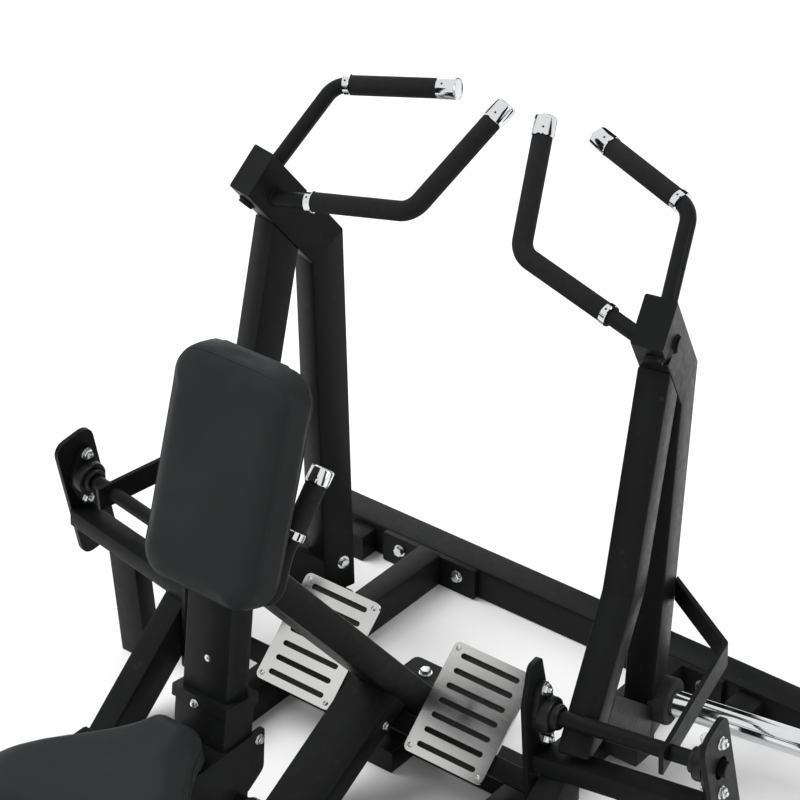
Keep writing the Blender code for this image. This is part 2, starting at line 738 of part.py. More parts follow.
def build_centre():
    """Post, strut and ramp tube in the middle plane."""
    post_way = Vector((0, POST_LEAN, 1)).normalized()
    post_front = Vector((0, 1, -POST_LEAN)).normalized()
    low = Vector((0, post_y(0), 0))
    high = Vector((0, post_y(1.0), 1.0))
    strut_way = Vector((0, STRUT_LOW_Y - STRUT_HIGH_Y, STRUT_LOW_Z - STRUT_HIGH_Z)).normalized()
    strut_rear = Vector((0, strut_way.z, -strut_way.y))
    strut_high = Vector((0, STRUT_HIGH_Y, STRUT_HIGH_Z))
    strut_low = Vector((0, STRUT_LOW_Y, STRUT_LOW_Z))
    strut_top = strut_high - strut_rear * (STRUT_DEPTH / 2)
    front_face = Vector((0, post_y(POST_REF_Z), POST_REF_Z)) + post_front * (POST_DEPTH / 2)
    reach = (strut_top - front_face).dot(post_front) / strut_way.dot(post_front)
    corner = strut_top - strut_way * reach
    post = tube("post", low, high, POST_WIDTH, POST_DEPTH, (1, 0, 0), BLACK,
                cuts=(((0, 0, FLOOR_BEAM_HEIGHT + GAP), (0, 0, -1)),
                      (corner + post_way * EDGE_RADIUS, (0, 0, 1))))
    seat_depth = PAD_THICKNESS + BOARD_THICKNESS + 2 * GAP
    pad_low = pad_layer(seat_depth - POST_WIDTH)
    pad_low = pad_low - pad_direction() * (PAD_HEIGHT / 2 + PAD_SEAT_GAP)
    pad_seat = tube("pad_seat", pad_low, pad_low + pad_direction() * PAD_HEIGHT,
                    2 * POST_WIDTH, 2 * POST_WIDTH, (1, 0, 0), None, radius=0,
                    collection=CUTTERS)
    combine(post, pad_seat, "DIFFERENCE")
    strut_foot_z = FLOOR_BEAM_HEIGHT + GAP
    strut = tube("strut", strut_high - strut_way * OVERRUN, strut_low + strut_way * OVERRUN,
                 STRUT_WIDTH, STRUT_DEPTH, (1, 0, 0), BLACK,
                 cuts=(((0, 0, strut_foot_z + WELD_STEP), (0, 0, -1)),
                       (front_face + post_front * GAP, -post_front)))
    half = STRUT_FOOT_WIDTH / 2
    outline = rounded_outline([(-half, STRUT_FOOT_REAR_Y), (half, STRUT_FOOT_REAR_Y),
                               (half, STRUT_FOOT_FRONT_Y), (-half, STRUT_FOOT_FRONT_Y)],
                              [PLATE_SMALL_CORNER] * 4, 3)
    middle = Matrix.Translation((0, 0, strut_foot_z + STRUT_FOOT_THICKNESS / 2))
    foot = slab("strut_foot_plate", outline, [], STRUT_FOOT_THICKNESS, middle, None, CUTTERS)
    combine(strut, foot, "UNION")
    ramp_way = Vector((0, 1, RAMP_SLOPE)).normalized()
    ramp_down = Vector((0, RAMP_SLOPE, -1)).normalized()
    ramp_centre = Vector((0, RAMP_TOP_Y, RAMP_TOP_Z)) + ramp_down * (RAMP_DEPTH / 2)
    strut_back = strut_low + strut_rear * (STRUT_DEPTH / 2 + GAP)
    tube("ramp_tube", ramp_centre - ramp_way * OVERRUN, ramp_centre + ramp_way * OVERRUN,
         RAMP_WIDTH, RAMP_DEPTH, (1, 0, 0), BLACK,
         cuts=(((0, CROSS_BEAM_FRONT_Y + GAP, 0), (0, -1, 0)),
               ((0, 0, FLOOR_LIFT), (0, 0, -1)),
               (strut_back, -strut_rear)))


def build_pad():
    """The chest pad on its board."""
    turn = frame_matrix(pad_layer(PAD_THICKNESS + BOARD_THICKNESS / 2 + GAP), -pad_normal(),
                        (1, 0, 0))
    slab("pad_board", rectangle(PAD_WIDTH / 2 - BOARD_MARGIN, PAD_HEIGHT / 2 - BOARD_MARGIN,
                                PAD_CORNER - BOARD_MARGIN), [], BOARD_THICKNESS, turn, PLYWOOD)
    cushion("chest_pad", rectangle(PAD_WIDTH / 2, PAD_HEIGHT / 2, PAD_CORNER, 6), PAD_THICKNESS,
            PAD_SIDE_HEIGHT, PAD_CROWN_REACH,
            frame_matrix(pad_layer(PAD_THICKNESS), -pad_normal(), (1, 0, 0)))


def rectangle(half_x, half_y, corner, steps=4):
    """A rounded rectangle about the origin."""
    corners = [(-half_x, -half_y), (half_x, -half_y), (half_x, half_y), (-half_x, half_y)]
    return rounded_outline(corners, [corner] * 4, steps)


def cushion(name, outline, thickness, side_height, crown_reach, matrix):
    """A cushion over an outline about the origin: flat back, upright sides, crowned face."""
    half_x = max(x_value for x_value, _ in outline)
    half_y = max(y_value for _, y_value in outline)
    levels = [(0.0, CUSHION_TUCK), (side_height / 3, 0.0)]
    for step in range(CROWN_STEPS + 1):
        angle = math.radians(90) * step / CROWN_STEPS
        rise = (thickness - side_height) * math.sin(angle)
        levels.append((side_height + rise, crown_reach * (1 - math.cos(angle))))
    mesh_edit = bmesh.new()
    rings = []
    for height, inset in levels:
        scale_x = 1 - inset / half_x
        scale_y = 1 - inset / half_y
        rings.append([mesh_edit.verts.new((x_value * scale_x, y_value * scale_y, height))
                      for x_value, y_value in outline])
    loops = [ring_edges(mesh_edit, ring) for ring in rings]
    for lower, upper in zip(loops, loops[1:]):
        bmesh.ops.bridge_loops(mesh_edit, edges=lower + upper)
    mesh_edit.faces.new(list(reversed(rings[0])))
    mesh_edit.faces.new(rings[-1])
    bmesh.ops.transform(mesh_edit, matrix=matrix, verts=mesh_edit.verts)
    item = place(name, to_mesh(mesh_edit, name), VINYL)
    smooth(item)
    return item


def ring_edges(mesh_edit, ring):
    """The edges that join a ring of points."""
    return [mesh_edit.edges.new((vertex, ring[(index + 1) % len(ring)]))
            for index, vertex in enumerate(ring)]


def axis_frame(side, distance_out):
    """Local X forward, local Y up and local Z along a pivot axis, at a distance outwards."""
    axis = pivot_direction(side)
    up = Vector((0, 0, 1))
    up = (up - axis * up.dot(axis)).normalized()
    forward = up.cross(axis) * side
    turn = Matrix((forward, up, forward.cross(up))).transposed().to_4x4()
    return Matrix.Translation(pivot_point(side, distance_out)) @ turn


def circle(centre, radius, steps=24):
    """A closed round outline."""
    return arc(centre, radius, 0, 360 - 360 / steps, steps - 1)


def inner_plate_outline():
    """The inner plate's outline about the axis, as (forward, up)."""
    half = PLATE_HALF_WIDTH
    corners = [(-half, INNER_PLATE_FOOT), (-half, INNER_PLATE_WAIST),
               (-INNER_PLATE_CREST, INNER_PLATE_TOP), (INNER_PLATE_CREST, INNER_PLATE_TOP),
               (half, -INNER_PLATE_WAIST), (INNER_PLATE_TOE, INNER_PLATE_FOOT)]
    small = PLATE_SMALL_CORNER
    return rounded_outline(corners, [small, PLATE_CORNER, small, small, PLATE_CORNER, small])


def outer_plate_outline():
    """The outer plate's outline about the axis: a strip that leans forward going down."""
    along = Vector((OUTER_PLATE_LEAN, -1)).normalized()
    square = Vector((-along.y, along.x))
    corners = []
    for height, side in ((OUTER_PLATE_TOP, -1), (OUTER_PLATE_TOP, 1), (OUTER_PLATE_FOOT, 1),
                         (OUTER_PLATE_FOOT, -1)):
        corners.append((along * (-height) + square * side * PLATE_HALF_WIDTH).to_tuple())
    small = PLATE_SMALL_CORNER
    return rounded_outline(corners, [PLATE_CORNER, PLATE_CORNER, small, PLATE_CORNER])


def build_bearing_plate(side, name, outline, face_x, outwards):
    """An upright plate across the pivot axis; its face lies at face_x."""
    slope = pivot_direction(side).x * side
    centre_x = face_x + outwards * PLATE_THICKNESS / 2 * slope
    hole = circle((0, 0), BEARING_COLLAR_RADIUS)
    slab(name, outline, [hole], PLATE_THICKNESS, axis_frame(side, centre_x), BLACK)


def build_bearing(side, name, face_x, end_x, outwards):
    """A two-bolt flange bearing seated on a plate's face."""
    slope = pivot_direction(side).x * side
    seat_x = face_x + outwards * GAP
    flange_x = seat_x + outwards * BEARING_FLANGE_THICKNESS / 2 * slope
    half_corners = [(BEARING_EAR_HALF, BEARING_FLANGE_HALF),
                    (BEARING_WAIST, BEARING_WAIST_HALF)]
    corners = half_corners + [(x_value, -y_value) for x_value, y_value in half_corners[::-1]]
    corners = corners + [(-x_value, y_value) for x_value, y_value in corners[::-1]]
    flange = slab(name, rounded_outline(corners, [PLATE_SMALL_CORNER] * 8, 3), [],
                  BEARING_FLANGE_THICKNESS, axis_frame(side, flange_x), BLACK)
    start = seat_x + outwards * BEARING_FLANGE_THICKNESS / 3
    boss_end = seat_x + (end_x - seat_x) * BEARING_BOSS_SHARE
    boss = rod(name + "_boss", pivot_point(side, start), pivot_point(side, boss_end),
               BEARING_BOSS_RADIUS, None, collection=CUTTERS)
    collar = rod(name + "_collar", pivot_point(side, start), pivot_point(side, end_x),
                 BEARING_COLLAR_RADIUS, None, collection=CUTTERS)
    overshoot = outwards * PLATE_THICKNESS
    bore = rod(name + "_bore", pivot_point(side, face_x - overshoot),
               pivot_point(side, end_x + overshoot), SHAFT_RADIUS + GAP, None,
               collection=CUTTERS)
    combine(flange, boss, "UNION")
    combine(flange, collar, "UNION")
    combine(flange, bore, "DIFFERENCE")


def build_side_frame(side):
    """Bearing plates, bearings, raised beam, leg and brace of one side."""
    name = SIDE_NAME[side]
    build_bearing_plate(side, name + "_inner_plate", inner_plate_outline(), INNER_PLATE_X, -1)
    build_bearing_plate(side, name + "_outer_plate", outer_plate_outline(), OUTER_PLATE_X, 1)
    build_bearing(side, name + "_inner_bearing", INNER_PLATE_X, INNER_BEARING_END_X, 1)
    build_bearing(side, name + "_outer_bearing", OUTER_PLATE_X, OUTER_BEARING_END_X, -1)
    axis = pivot_direction(side)
    frame = axis_frame(side, PIVOT_X).to_3x3()
    forward = frame @ Vector((1, 0, 0))
    up = frame @ Vector((0, 1, 0))
    offset = -forward * RAISED_BEAM_BACK - up * RAISED_BEAM_DROP
    inner = pivot_point(side, INNER_PLATE_X)
    outer = pivot_point(side, OUTER_PLATE_X)
    tube(name + "_raised_beam", inner + offset + axis * GAP, outer + offset - axis * GAP,
         RAISED_BEAM_WIDTH, RAISED_BEAM_DEPTH, forward, BLACK)
    under = pivot_point(side, PIVOT_X) + offset - up * (RAISED_BEAM_DEPTH / 2 + GAP)
    ahead = pivot_point(side, PIVOT_X) + offset + forward * (RAISED_BEAM_WIDTH / 2)
    leg_x = side * (LEG_OUTER_X - LEG_WIDTH / 2)
    leg_top = pivot_point(side, abs(leg_x)) + offset
    leg_way = Vector((0, -LEG_LEAN, 1)).normalized()
    tube(name + "_leg", leg_top - leg_way * OVERRUN, leg_top, LEG_WIDTH, LEG_DEPTH, (1, 0, 0),
         BLACK, cuts=(((0, 0, 0), (0, 0, -1)), (under, up)))
    brace_way = Vector((0, 1, SIDE_BRACE_SLOPE)).normalized()
    brace_down = Vector((0, SIDE_BRACE_SLOPE, -1)).normalized()
    centre = Vector((side * SIDE_BRACE_X, SIDE_BRACE_TOP_Y, SIDE_BRACE_TOP_Z))
    centre = centre + brace_down * (SIDE_BRACE_DEPTH / 2)
    tube(name + "_side_brace", centre - brace_way * OVERRUN, centre + brace_way * OVERRUN,
         SIDE_BRACE_WIDTH, SIDE_BRACE_DEPTH, (1, 0, 0), BLACK,
         cuts=((under, up), (ahead, forward), ((0, 0, FLOOR_LIFT), (0, 0, -1)),
               ((0, CROSS_BEAM_FRONT_Y + GAP, 0), (0, -1, 0))))
    low = Vector((RAIL_INNER_X + RAIL_WIDTH + GAP, STOP_REAR_Y, STOP_LOW_Z))
    high = Vector((low.x + STOP_WIDTH, STOP_FRONT_Y, STOP_TOP_Z))
    if side == LEFT:
        low.x, high.x = -high.x, -low.x
    block(name + "_stop", low, high, RUBBER, 0.006)


def foot_plate_direction():
    """The way up along the foot plates, and their normal on the user's side."""
    along = Vector((0, FOOT_PLATE_TOP_Y - FOOT_PLATE_LOW_Y,
                    FOOT_PLATE_TOP_Z - FOOT_PLATE_LOW_Z)).normalized()
    return along, Vector((0, -along.z, along.y))


def build_foot_plates():
    """The slotted foot plates and the bar that carries them between the inner plates."""
    along, normal = foot_plate_direction()
    low = Vector((0, FOOT_PLATE_LOW_Y, FOOT_PLATE_LOW_Z))
    half_x = FOOT_PLATE_WIDTH / 2
    half_y = FOOT_PLATE_LENGTH / 2
    outline = rounded_outline([(-half_x, -half_y), (half_x, -half_y), (half_x, half_y),
                               (-half_x, half_y)], [FOOT_PLATE_CORNER] * 4)
    slots = []
    for index in range(SLOT_COUNT):
        level = (index - (SLOT_COUNT - 1) / 2) * SLOT_PITCH
        reach = SLOT_LENGTH / 2 - SLOT_WIDTH / 2
        slots.append(arc((reach, level), SLOT_WIDTH / 2, -90, 90, 5)
                     + arc((-reach, level), SLOT_WIDTH / 2, 90, 270, 5))
    for side in (LEFT, RIGHT):
        middle = low + along * half_y - normal * (FOOT_PLATE_THICKNESS / 2)
        middle.x = side * (FOOT_PLATE_INNER_X + half_x)
        slab(SIDE_NAME[side] + "_foot_plate", outline, slots, FOOT_PLATE_THICKNESS,
             frame_matrix(middle, normal, (1, 0, 0)), STEEL)
    below = FOOT_PLATE_THICKNESS + GAP + FOOT_BAR_SIZE / 2
    centre = low + along * FOOT_BAR_UP - normal * below
    ends = []
    cuts = []
    for side in (LEFT, RIGHT):
        axis = pivot_direction(side)
        face = pivot_point(side, INNER_PLATE_X) - axis * (PLATE_THICKNESS + GAP)
        cuts.append((face, axis))
        ends.append(centre + Vector((side * OVERRUN, 0, 0)))
    tube("foot_bar", ends[0], ends[1], FOOT_BAR_SIZE, FOOT_BAR_SIZE, along, BLACK, cuts=cuts)


def build_arm(side):
    """The welded arm: shaft, tubes, brace, plate horn and handles."""
    edge_way = Vector((HEAD_SLOPE[1], -HEAD_SLOPE[0])) * -1
    low_edge = Vector(HEAD_CAP_TOP) - edge_way * HEAD_DEPTH
    upper_offset = edge_way.dot(Vector(HEAD_CAP_TOP))
    knee_top = Vector((REAR_TUBE_FRONT, (upper_offset - edge_way.x * REAR_TUBE_FRONT)
                       / edge_way.y))
    knee_low = Vector((REAR_TUBE_BACK, (upper_offset - HEAD_DEPTH
                                        - edge_way.x * REAR_TUBE_BACK) / edge_way.y))
    build_shaft(side)
    build_head(side, knee_top, knee_low, edge_way)
    build_rear_tube(side, knee_top, knee_low)
    build_front_tube(side, low_edge - edge_way * GAP)
    build_link(side)
    build_outer_brace(side)
    build_horn(side)
    build_handles(side)


def build_shaft(side):
    """The round shaft that the arm is welded to."""
    slope = pivot_direction(side).x * side
    outer = (SHAFT_OUTER_X - PIVOT_X) / slope
    inner = (SHAFT_INNER_X - PIVOT_X) / slope
    profile = [(0, outer), (SHAFT_RADIUS - SHAFT_BEVEL, outer),
               (SHAFT_RADIUS, outer - SHAFT_BEVEL), (SHAFT_RADIUS, inner + SHAFT_BEVEL),
               (SHAFT_RADIUS - SHAFT_BEVEL, inner), (0, inner)]
    turned(SIDE_NAME[side] + "_shaft", profile, pivot_point(side, PIVOT_X),
           pivot_direction(side), BLACK)


def handle_paths(side):
    """The two bent handles' centre lines, and the places where their grips start."""
    upper = bent_path([mirrored(side, point) for point in UPPER_HANDLE], HANDLE_BEND)
    cross = arm_point(side, *LOWER_HANDLE_HEAD)
    bend = mirrored(side, LOWER_HANDLE_BEND)
    way = (cross - bend).normalized()
    rise = way.dot(arm_normal(side))
    stub = cross + way * ((ARM_WIDTH / 2 + LOWER_HANDLE_STUB) / rise)
    lower = bent_path([stub, bend, mirrored(side, LOWER_HANDLE_END)], HANDLE_BEND)
    return ((upper, mirrored(side, UPPER_GRIP_START)),
            (lower, mirrored(side, LOWER_GRIP_START)))


def build_head(side, knee_top, knee_low, edge_way):
    """The sloping head tube that the handles pass into."""
    name = SIDE_NAME[side] + "_head_tube"
    slope = Vector(HEAD_SLOPE)
    centre = Vector(HEAD_CAP_TOP) - edge_way * (HEAD_DEPTH / 2)
    start = centre - slope * HEAD_DEPTH
    end = centre + slope * OVERRUN
    cap_way = Vector(HEAD_CAP_TOP) - Vector(HEAD_CAP_LOW)
    cap_out = Vector((-cap_way.y, cap_way.x))
    knee_way = knee_top - knee_low
    knee_out = Vector((knee_way.y, -knee_way.x)).normalized()
    head = tube(name, arm_point(side, *start), arm_point(side, *end), ARM_WIDTH, HEAD_DEPTH,
                arm_normal(side), BLACK,
                cuts=((arm_point(side, *HEAD_CAP_TOP), arm_vector(side, *cap_out)),
                      (arm_point(side, *(knee_top - knee_out * GAP / 2)),
                       arm_vector(side, *knee_out))))
    for index, (path, _) in enumerate(handle_paths(side)):
        way = (path[1] - path[0]).normalized()
        start = path[0] - way * (GAP if index == 0 else 0.05)
        hole = rod(name + "_hole", start, start + way * 0.2, HANDLE_RADIUS + GAP, None,
                   sides=24, collection=CUTTERS)
        combine(head, hole, "DIFFERENCE")


def build_rear_tube(side, knee_top, knee_low):
    """The upright tube at the front of the arm, which carries the plate horn."""
    middle = (REAR_TUBE_BACK + REAR_TUBE_FRONT) / 2
    knee_way = knee_top - knee_low
    knee_out = Vector((-knee_way.y, knee_way.x)).normalized()
    tube(SIDE_NAME[side] + "_rear_tube", arm_point(side, middle, REAR_TUBE_FOOT),
         arm_point(side, middle, knee_top.y + OVERRUN), ARM_WIDTH, REAR_TUBE_FRONT - REAR_TUBE_BACK,
         arm_normal(side), BLACK,
         cuts=((arm_point(side, *(knee_top - knee_out * GAP / 2)),
                arm_vector(side, *knee_out)),))


def front_tube_ways():
    """Directions of the two straight runs of the front tube's user-side edge."""
    top, knee, foot = [Vector(point) for point in FRONT_TUBE_EDGE]
    return (knee - top).normalized(), (foot - knee).normalized()


def build_front_tube(side, low_edge):
    """The arm's tube on the user's side, with its dog-leg down to the hub."""
    name = SIDE_NAME[side] + "_front_tube"
    top, knee, foot = [Vector(point) for point in FRONT_TUBE_EDGE]
    upper_way, lower_way = front_tube_ways()
    inwards = Vector((-upper_way.y, upper_way.x)) * FRONT_TUBE_DEPTH
    top_front = line_meet(top, upper_way, low_edge, HEAD_SLOPE)
    top_rear = line_meet(top + inwards, upper_way, low_edge, HEAD_SLOPE)
    knee_rear = line_meet(top + inwards, upper_way, FRONT_TUBE_FOOT, lower_way)
    corners = [top_front, knee.to_tuple(), foot.to_tuple(), FRONT_TUBE_FOOT, knee_rear,
               top_rear]
    outline = rounded_outline(corners, [0, 0.030, 0.010, 0.010, 0.030, 0])
    arm = solid_outline(name, outline, ARM_WIDTH, arm_matrix(side), BLACK)
    bore = rod(name + "_bore", pivot_point(side, PIVOT_X - 2 * ARM_WIDTH),
               pivot_point(side, PIVOT_X + 2 * ARM_WIDTH), SHAFT_RADIUS + GAP, None,
               collection=CUTTERS)
    combine(arm, bore, "DIFFERENCE")


def build_link(side):
    """The tube from the hub down to the foot of the rear tube."""
    way = Vector(LINK_SLOPE)
    square = Vector((-way.y, way.x))
    centre = Vector(LINK_UPPER) - square * (LINK_DEPTH / 2)
    lower_way = front_tube_ways()[1]
    out = Vector((-lower_way.y, lower_way.x))
    seat = Vector(FRONT_TUBE_FOOT) + out * GAP
    tube(SIDE_NAME[side] + "_link", arm_point(side, *(centre - way * OVERRUN)),
         arm_point(side, *(centre + way * OVERRUN)), ARM_WIDTH, LINK_DEPTH, arm_normal(side),
         BLACK, cuts=((arm_point(side, *seat), arm_vector(side, *(-out))),
                      (arm_point(side, REAR_TUBE_BACK - GAP, 0), arm_vector(side, 1, 0)),
                      (arm_point(side, 0, REAR_TUBE_FOOT), arm_vector(side, 0, -1))))


def build_outer_brace(side):
    """The bent flat bar from the rear tube's outer face to the end of the shaft."""
    name = SIDE_NAME[side] + "_outer_brace"
    shaft = pivot_point(RIGHT, OUTER_BRACE_SHAFT_X)
    start = Vector(OUTER_BRACE_START)
    knee = Vector(OUTER_BRACE_KNEE)
    end = Vector((shaft.x, shaft.y))
    end = end + (end - knee).normalized() * OUTER_BRACE_TAIL
    start = start + (start - knee).normalized() * 0.03
    first = (knee - start).normalized()
    second = (end - knee).normalized()
    half = OUTER_BRACE_THICKNESS / 2
    sides = []
    for sign in (1, -1):
        first_out = Vector((-first.y, first.x)) * half * sign
        second_out = Vector((-second.y, second.x)) * half * sign
        bend = line_meet(start + first_out, first, end + second_out, second)
        sides.append([(start + first_out).to_tuple(), bend, (end + second_out).to_tuple()])
    corners = sides[0] + sides[1][::-1]
    outline = rounded_outline(corners, [0, 0.012, 0, 0, 0.020, 0], 3)
    outline = [(side * (x_value - shaft.x), y_value - shaft.y) for x_value, y_value in outline]
    forward = Vector((0, 1, OUTER_BRACE_RISE)).normalized()
    turn = Matrix(((1, 0, 0), forward, Vector((1, 0, 0)).cross(forward))).transposed().to_4x4()
    matrix = Matrix.Translation(mirrored(side, shaft)) @ turn
    brace = slab(name, outline, [], OUTER_BRACE_HEIGHT, matrix, BLACK)
    mesh_edit = bmesh.new()
    mesh_edit.from_mesh(brace.data)
    close_cut(mesh_edit, arm_point(side, 0, 0, ARM_WIDTH / 2 + GAP), -arm_normal(side))
    mesh_edit.to_mesh(brace.data)
    mesh_edit.free()
    hole = rod(name + "_hole", pivot_point(side, OUTER_BRACE_SHAFT_X - 0.05),
               pivot_point(side, OUTER_BRACE_SHAFT_X + 0.05), SHAFT_RADIUS + GAP, None,
               collection=CUTTERS)
    combine(brace, hole, "DIFFERENCE")


def build_horn(side):
    """The round horn for the weight plates, with its collar on the arm."""
    name = SIDE_NAME[side]
    face = ARM_WIDTH / 2 + GAP
    base = arm_point(side, *HORN_PLACE, face)
    way = mirrored(side, (1.0, HORN_FORWARD, HORN_RISE)).normalized()
    seat = (base, -arm_normal(side))
    rod(name + "_weight_horn", base - way * 0.02, base + way * HORN_LENGTH, HORN_RADIUS,
        CHROME, cuts=(seat,))
    collar = rod(name + "_horn_collar", base - way * 0.02, base + way * HORN_COLLAR_LENGTH,
                 HORN_COLLAR_RADIUS, RUBBER, cuts=(seat,))
    bore = rod(name + "_horn_bore", base - way * 0.05, base + way * 0.1, HORN_RADIUS + GAP,
               None, collection=CUTTERS)
    combine(collar, bore, "DIFFERENCE")


def handle_sections(path, grip_start):
    """Sections of a handle with a ring at the grip's start and a cap on its end."""
    total = path_length(path)
    cap_start = total - CAP_LENGTH
    sections = []
    bands = ((0.0, grip_start - RING_LENGTH, HANDLE_RADIUS),
             (grip_start - RING_LENGTH + GAP, grip_start, RING_RADIUS),
             (grip_start + GAP, cap_start - GAP, HANDLE_RADIUS),
             (cap_start, total - CAP_EDGE, CAP_RADIUS),
             (total - CAP_EDGE + GAP, total - GAP / 3, CAP_RADIUS - CAP_EDGE))
    for first, last, radius in bands:
        for point in stretch(path, first, last):
            sections.append((point, radius))
    return sections


def build_handle(prefix, path, grip_start, material=BLACK):
    """A bent handle with its ring and cap, and the foam grip around it."""
    total = path_length(path)
    swept(prefix + "_handle", handle_sections(path, grip_start), material, resolution=6)
    grip_path = stretch(path, grip_start + 2 * GAP, total - CAP_LENGTH - 2 * GAP)
    grip = swept(prefix + "_grip", [(point, GRIP_RADIUS) for point in grip_path], FOAM,
                 resolution=6)
    bore_path = stretch(path, grip_start - 0.004, total - CAP_LENGTH + 0.004)
    bore = swept(prefix + "_grip_bore",
                 [(point, HANDLE_RADIUS + GRIP_BORE_CLEARANCE) for point in bore_path], None,
                 CUTTERS, resolution=6)
    combine(grip, bore, "DIFFERENCE")


def build_handles(side):
    """The upper and the lower handle of an arm."""
    for label, (path, grip_place) in zip(("_upper", "_lower"), handle_paths(side)):
        build_handle(SIDE_NAME[side] + label, path, distance_along(path, grip_place))


def build_grab_handle(side):
    """The fixed handle beside the pad, bent up from the side of the post."""
    corners = [mirrored(side, point) for point in (GRAB_BASE, GRAB_BEND, GRAB_END)]
    path = bent_path(corners, GRAB_BEND_RADIUS)
    grip_start = path_length(path) - CAP_LENGTH - GRAB_GRIP_LENGTH
    build_handle(SIDE_NAME[side] + "_grab", path, grip_start)


def carriage_centre(below_top):
    """A point of the post's centre line, measured down from the carriage's top."""
    way = Vector((0, POST_LEAN, 1)).normalized()
    return Vector((0, post_y(CARRIAGE_TOP_Z), CARRIAGE_TOP_Z)) - way * below_top


def seat_outline():
    """The seat's outline about its own middle: a narrow nose that flares to the rear."""
    half_y = SEAT_LENGTH / 2
    right = []
    for step in range(SEAT_FLARE_STEPS + 1):
        share = step / SEAT_FLARE_STEPS
        half = SEAT_NOSE_HALF + (SEAT_REAR_HALF - SEAT_NOSE_HALF) * share ** 2 * (3 - 2 * share)
        right.append((half, half_y - share * SEAT_FLARE_LENGTH))
    right.append((SEAT_REAR_HALF, -half_y))
    corners = right + [(-x_value, y_value) for x_value, y_value in right[::-1]]
    radii = [SEAT_NOSE_CORNER] + [0] * SEAT_FLARE_STEPS + [SEAT_REAR_CORNER]
    return rounded_outline(corners, radii + radii[::-1], SEAT_FLARE_STEPS)


def side_plate(name, outline, inner_face, thickness, side):
    """A plate parallel to the middle plane, its outline given as (y, z)."""
    turn = Matrix(((0, 1, 0), (0, 0, 1), (1, 0, 0))).transposed().to_4x4()
    centre = Vector((side * (inner_face + thickness / 2), 0, 0))
    return slab(name, outline, [], thickness, Matrix.Translation(centre) @ turn, None, CUTTERS)


def build_seat():
    """The saddle, the sleeve that carries it on the post, and its pull pin."""
    middle = (0, SEAT_FRONT_Y - SEAT_LENGTH / 2, SEAT_TOP_Z - SEAT_THICKNESS)
    cushion("seat_pad", seat_outline(), SEAT_THICKNESS, SEAT_SIDE_HEIGHT, SEAT_CROWN_REACH,
            Matrix.Translation(middle))
    top = carriage_centre(0)
    foot = carriage_centre(CARRIAGE_LENGTH)
    wall_x = POST_WIDTH / 2 + CARRIAGE_WALL + CARRIAGE_RUN
    wall_y = POST_DEPTH / 2 + CARRIAGE_WALL + CARRIAGE_RUN
    sleeve = tube("seat_carriage", foot, top, 2 * wall_x, 2 * wall_y, (1, 0, 0), BLACK)
    band = tube("carriage_band", carriage_centre(BAND_HEIGHT), carriage_centre(-WELD_STEP),
                2 * (wall_x + BAND_THICKNESS), 2 * (wall_y + BAND_THICKNESS), (1, 0, 0), None,
                collection=CUTTERS)
    combine(sleeve, band, "UNION")
    bracket_top = SEAT_TOP_Z - SEAT_THICKNESS - GAP
    pin_place = carriage_centre(PIN_BELOW_TOP)
    rear = BRACKET_REAR_Y
    front = BRACKET_FRONT_Y
    low = pin_place.z
    outline = rounded_outline([(rear, bracket_top), (front, bracket_top),
                               (front - BRACKET_NOSE_BACK, low + BRACKET_NOSE_RISE),
                               (pin_place.y + BRACKET_FOOT_FRONT, low),
                               (pin_place.y - BRACKET_FOOT_REAR, low),
                               (rear, bracket_top - BRACKET_REAR_DROP)], BRACKET_CORNERS)
    for side in (LEFT, RIGHT):
        plate = side_plate("seat_bracket", outline, wall_x - WELD_STEP, BRACKET_THICKNESS, side)
        combine(sleeve, plate, "UNION")
    tray_reach = wall_x + BRACKET_THICKNESS / 2
    tray_top = bracket_top - WELD_STEP
    tray_front = post_y(tray_top) - POST_DEPTH / 2 - CARRIAGE_WALL / 2
    tray = block("seat_tray", (-tray_reach, rear + BRACKET_THICKNESS, tray_top - TRAY_THICKNESS),
                 (tray_reach, tray_front, tray_top), None, 0, CUTTERS)
    combine(sleeve, tray, "UNION")
    way = Vector((0, POST_LEAN, 1)).normalized()
    bore = tube("carriage_bore", foot - way * POST_WIDTH, top + way * POST_WIDTH,
                POST_WIDTH + 2 * CARRIAGE_RUN, POST_DEPTH + 2 * CARRIAGE_RUN, (1, 0, 0), None,
                collection=CUTTERS)
    combine(sleeve, bore, "DIFFERENCE")
    pin_way = Vector((1, 0, 0))
    post_side = pin_place + pin_way * (POST_WIDTH / 2)
    wall_side = pin_place + pin_way * wall_x
    barrel = rod("pin_barrel", wall_side - pin_way * CARRIAGE_WALL / 2,
                 wall_side + pin_way * PIN_BARREL_LENGTH, PIN_BARREL_RADIUS, None, sides=24,
                 collection=CUTTERS)
    barrel_bore = rod("pin_barrel_bore", pin_place, wall_side + pin_way * POST_WIDTH,
                      PIN_RADIUS + GAP, None, sides=24, collection=CUTTERS)
    combine(sleeve, barrel, "UNION")
    combine(sleeve, barrel_bore, "DIFFERENCE")
    build_pin(pin_place, wall_x + PIN_BARREL_LENGTH + GAP, POST_WIDTH / 2 - PIN_TIP_DEPTH)
    post = bpy.data.objects["post"]
    for step in range(-PIN_HOLE_STEPS, PIN_HOLE_STEPS + 1):
        offset = way * step * PIN_HOLE_PITCH
        hole = rod("post_hole", post_side + offset - pin_way * (PIN_TIP_DEPTH + CARRIAGE_WALL),
                   post_side + offset + pin_way * CARRIAGE_WALL, PIN_RADIUS + GAP, None,
                   sides=24, collection=CUTTERS)
        combine(post, hole, "DIFFERENCE")


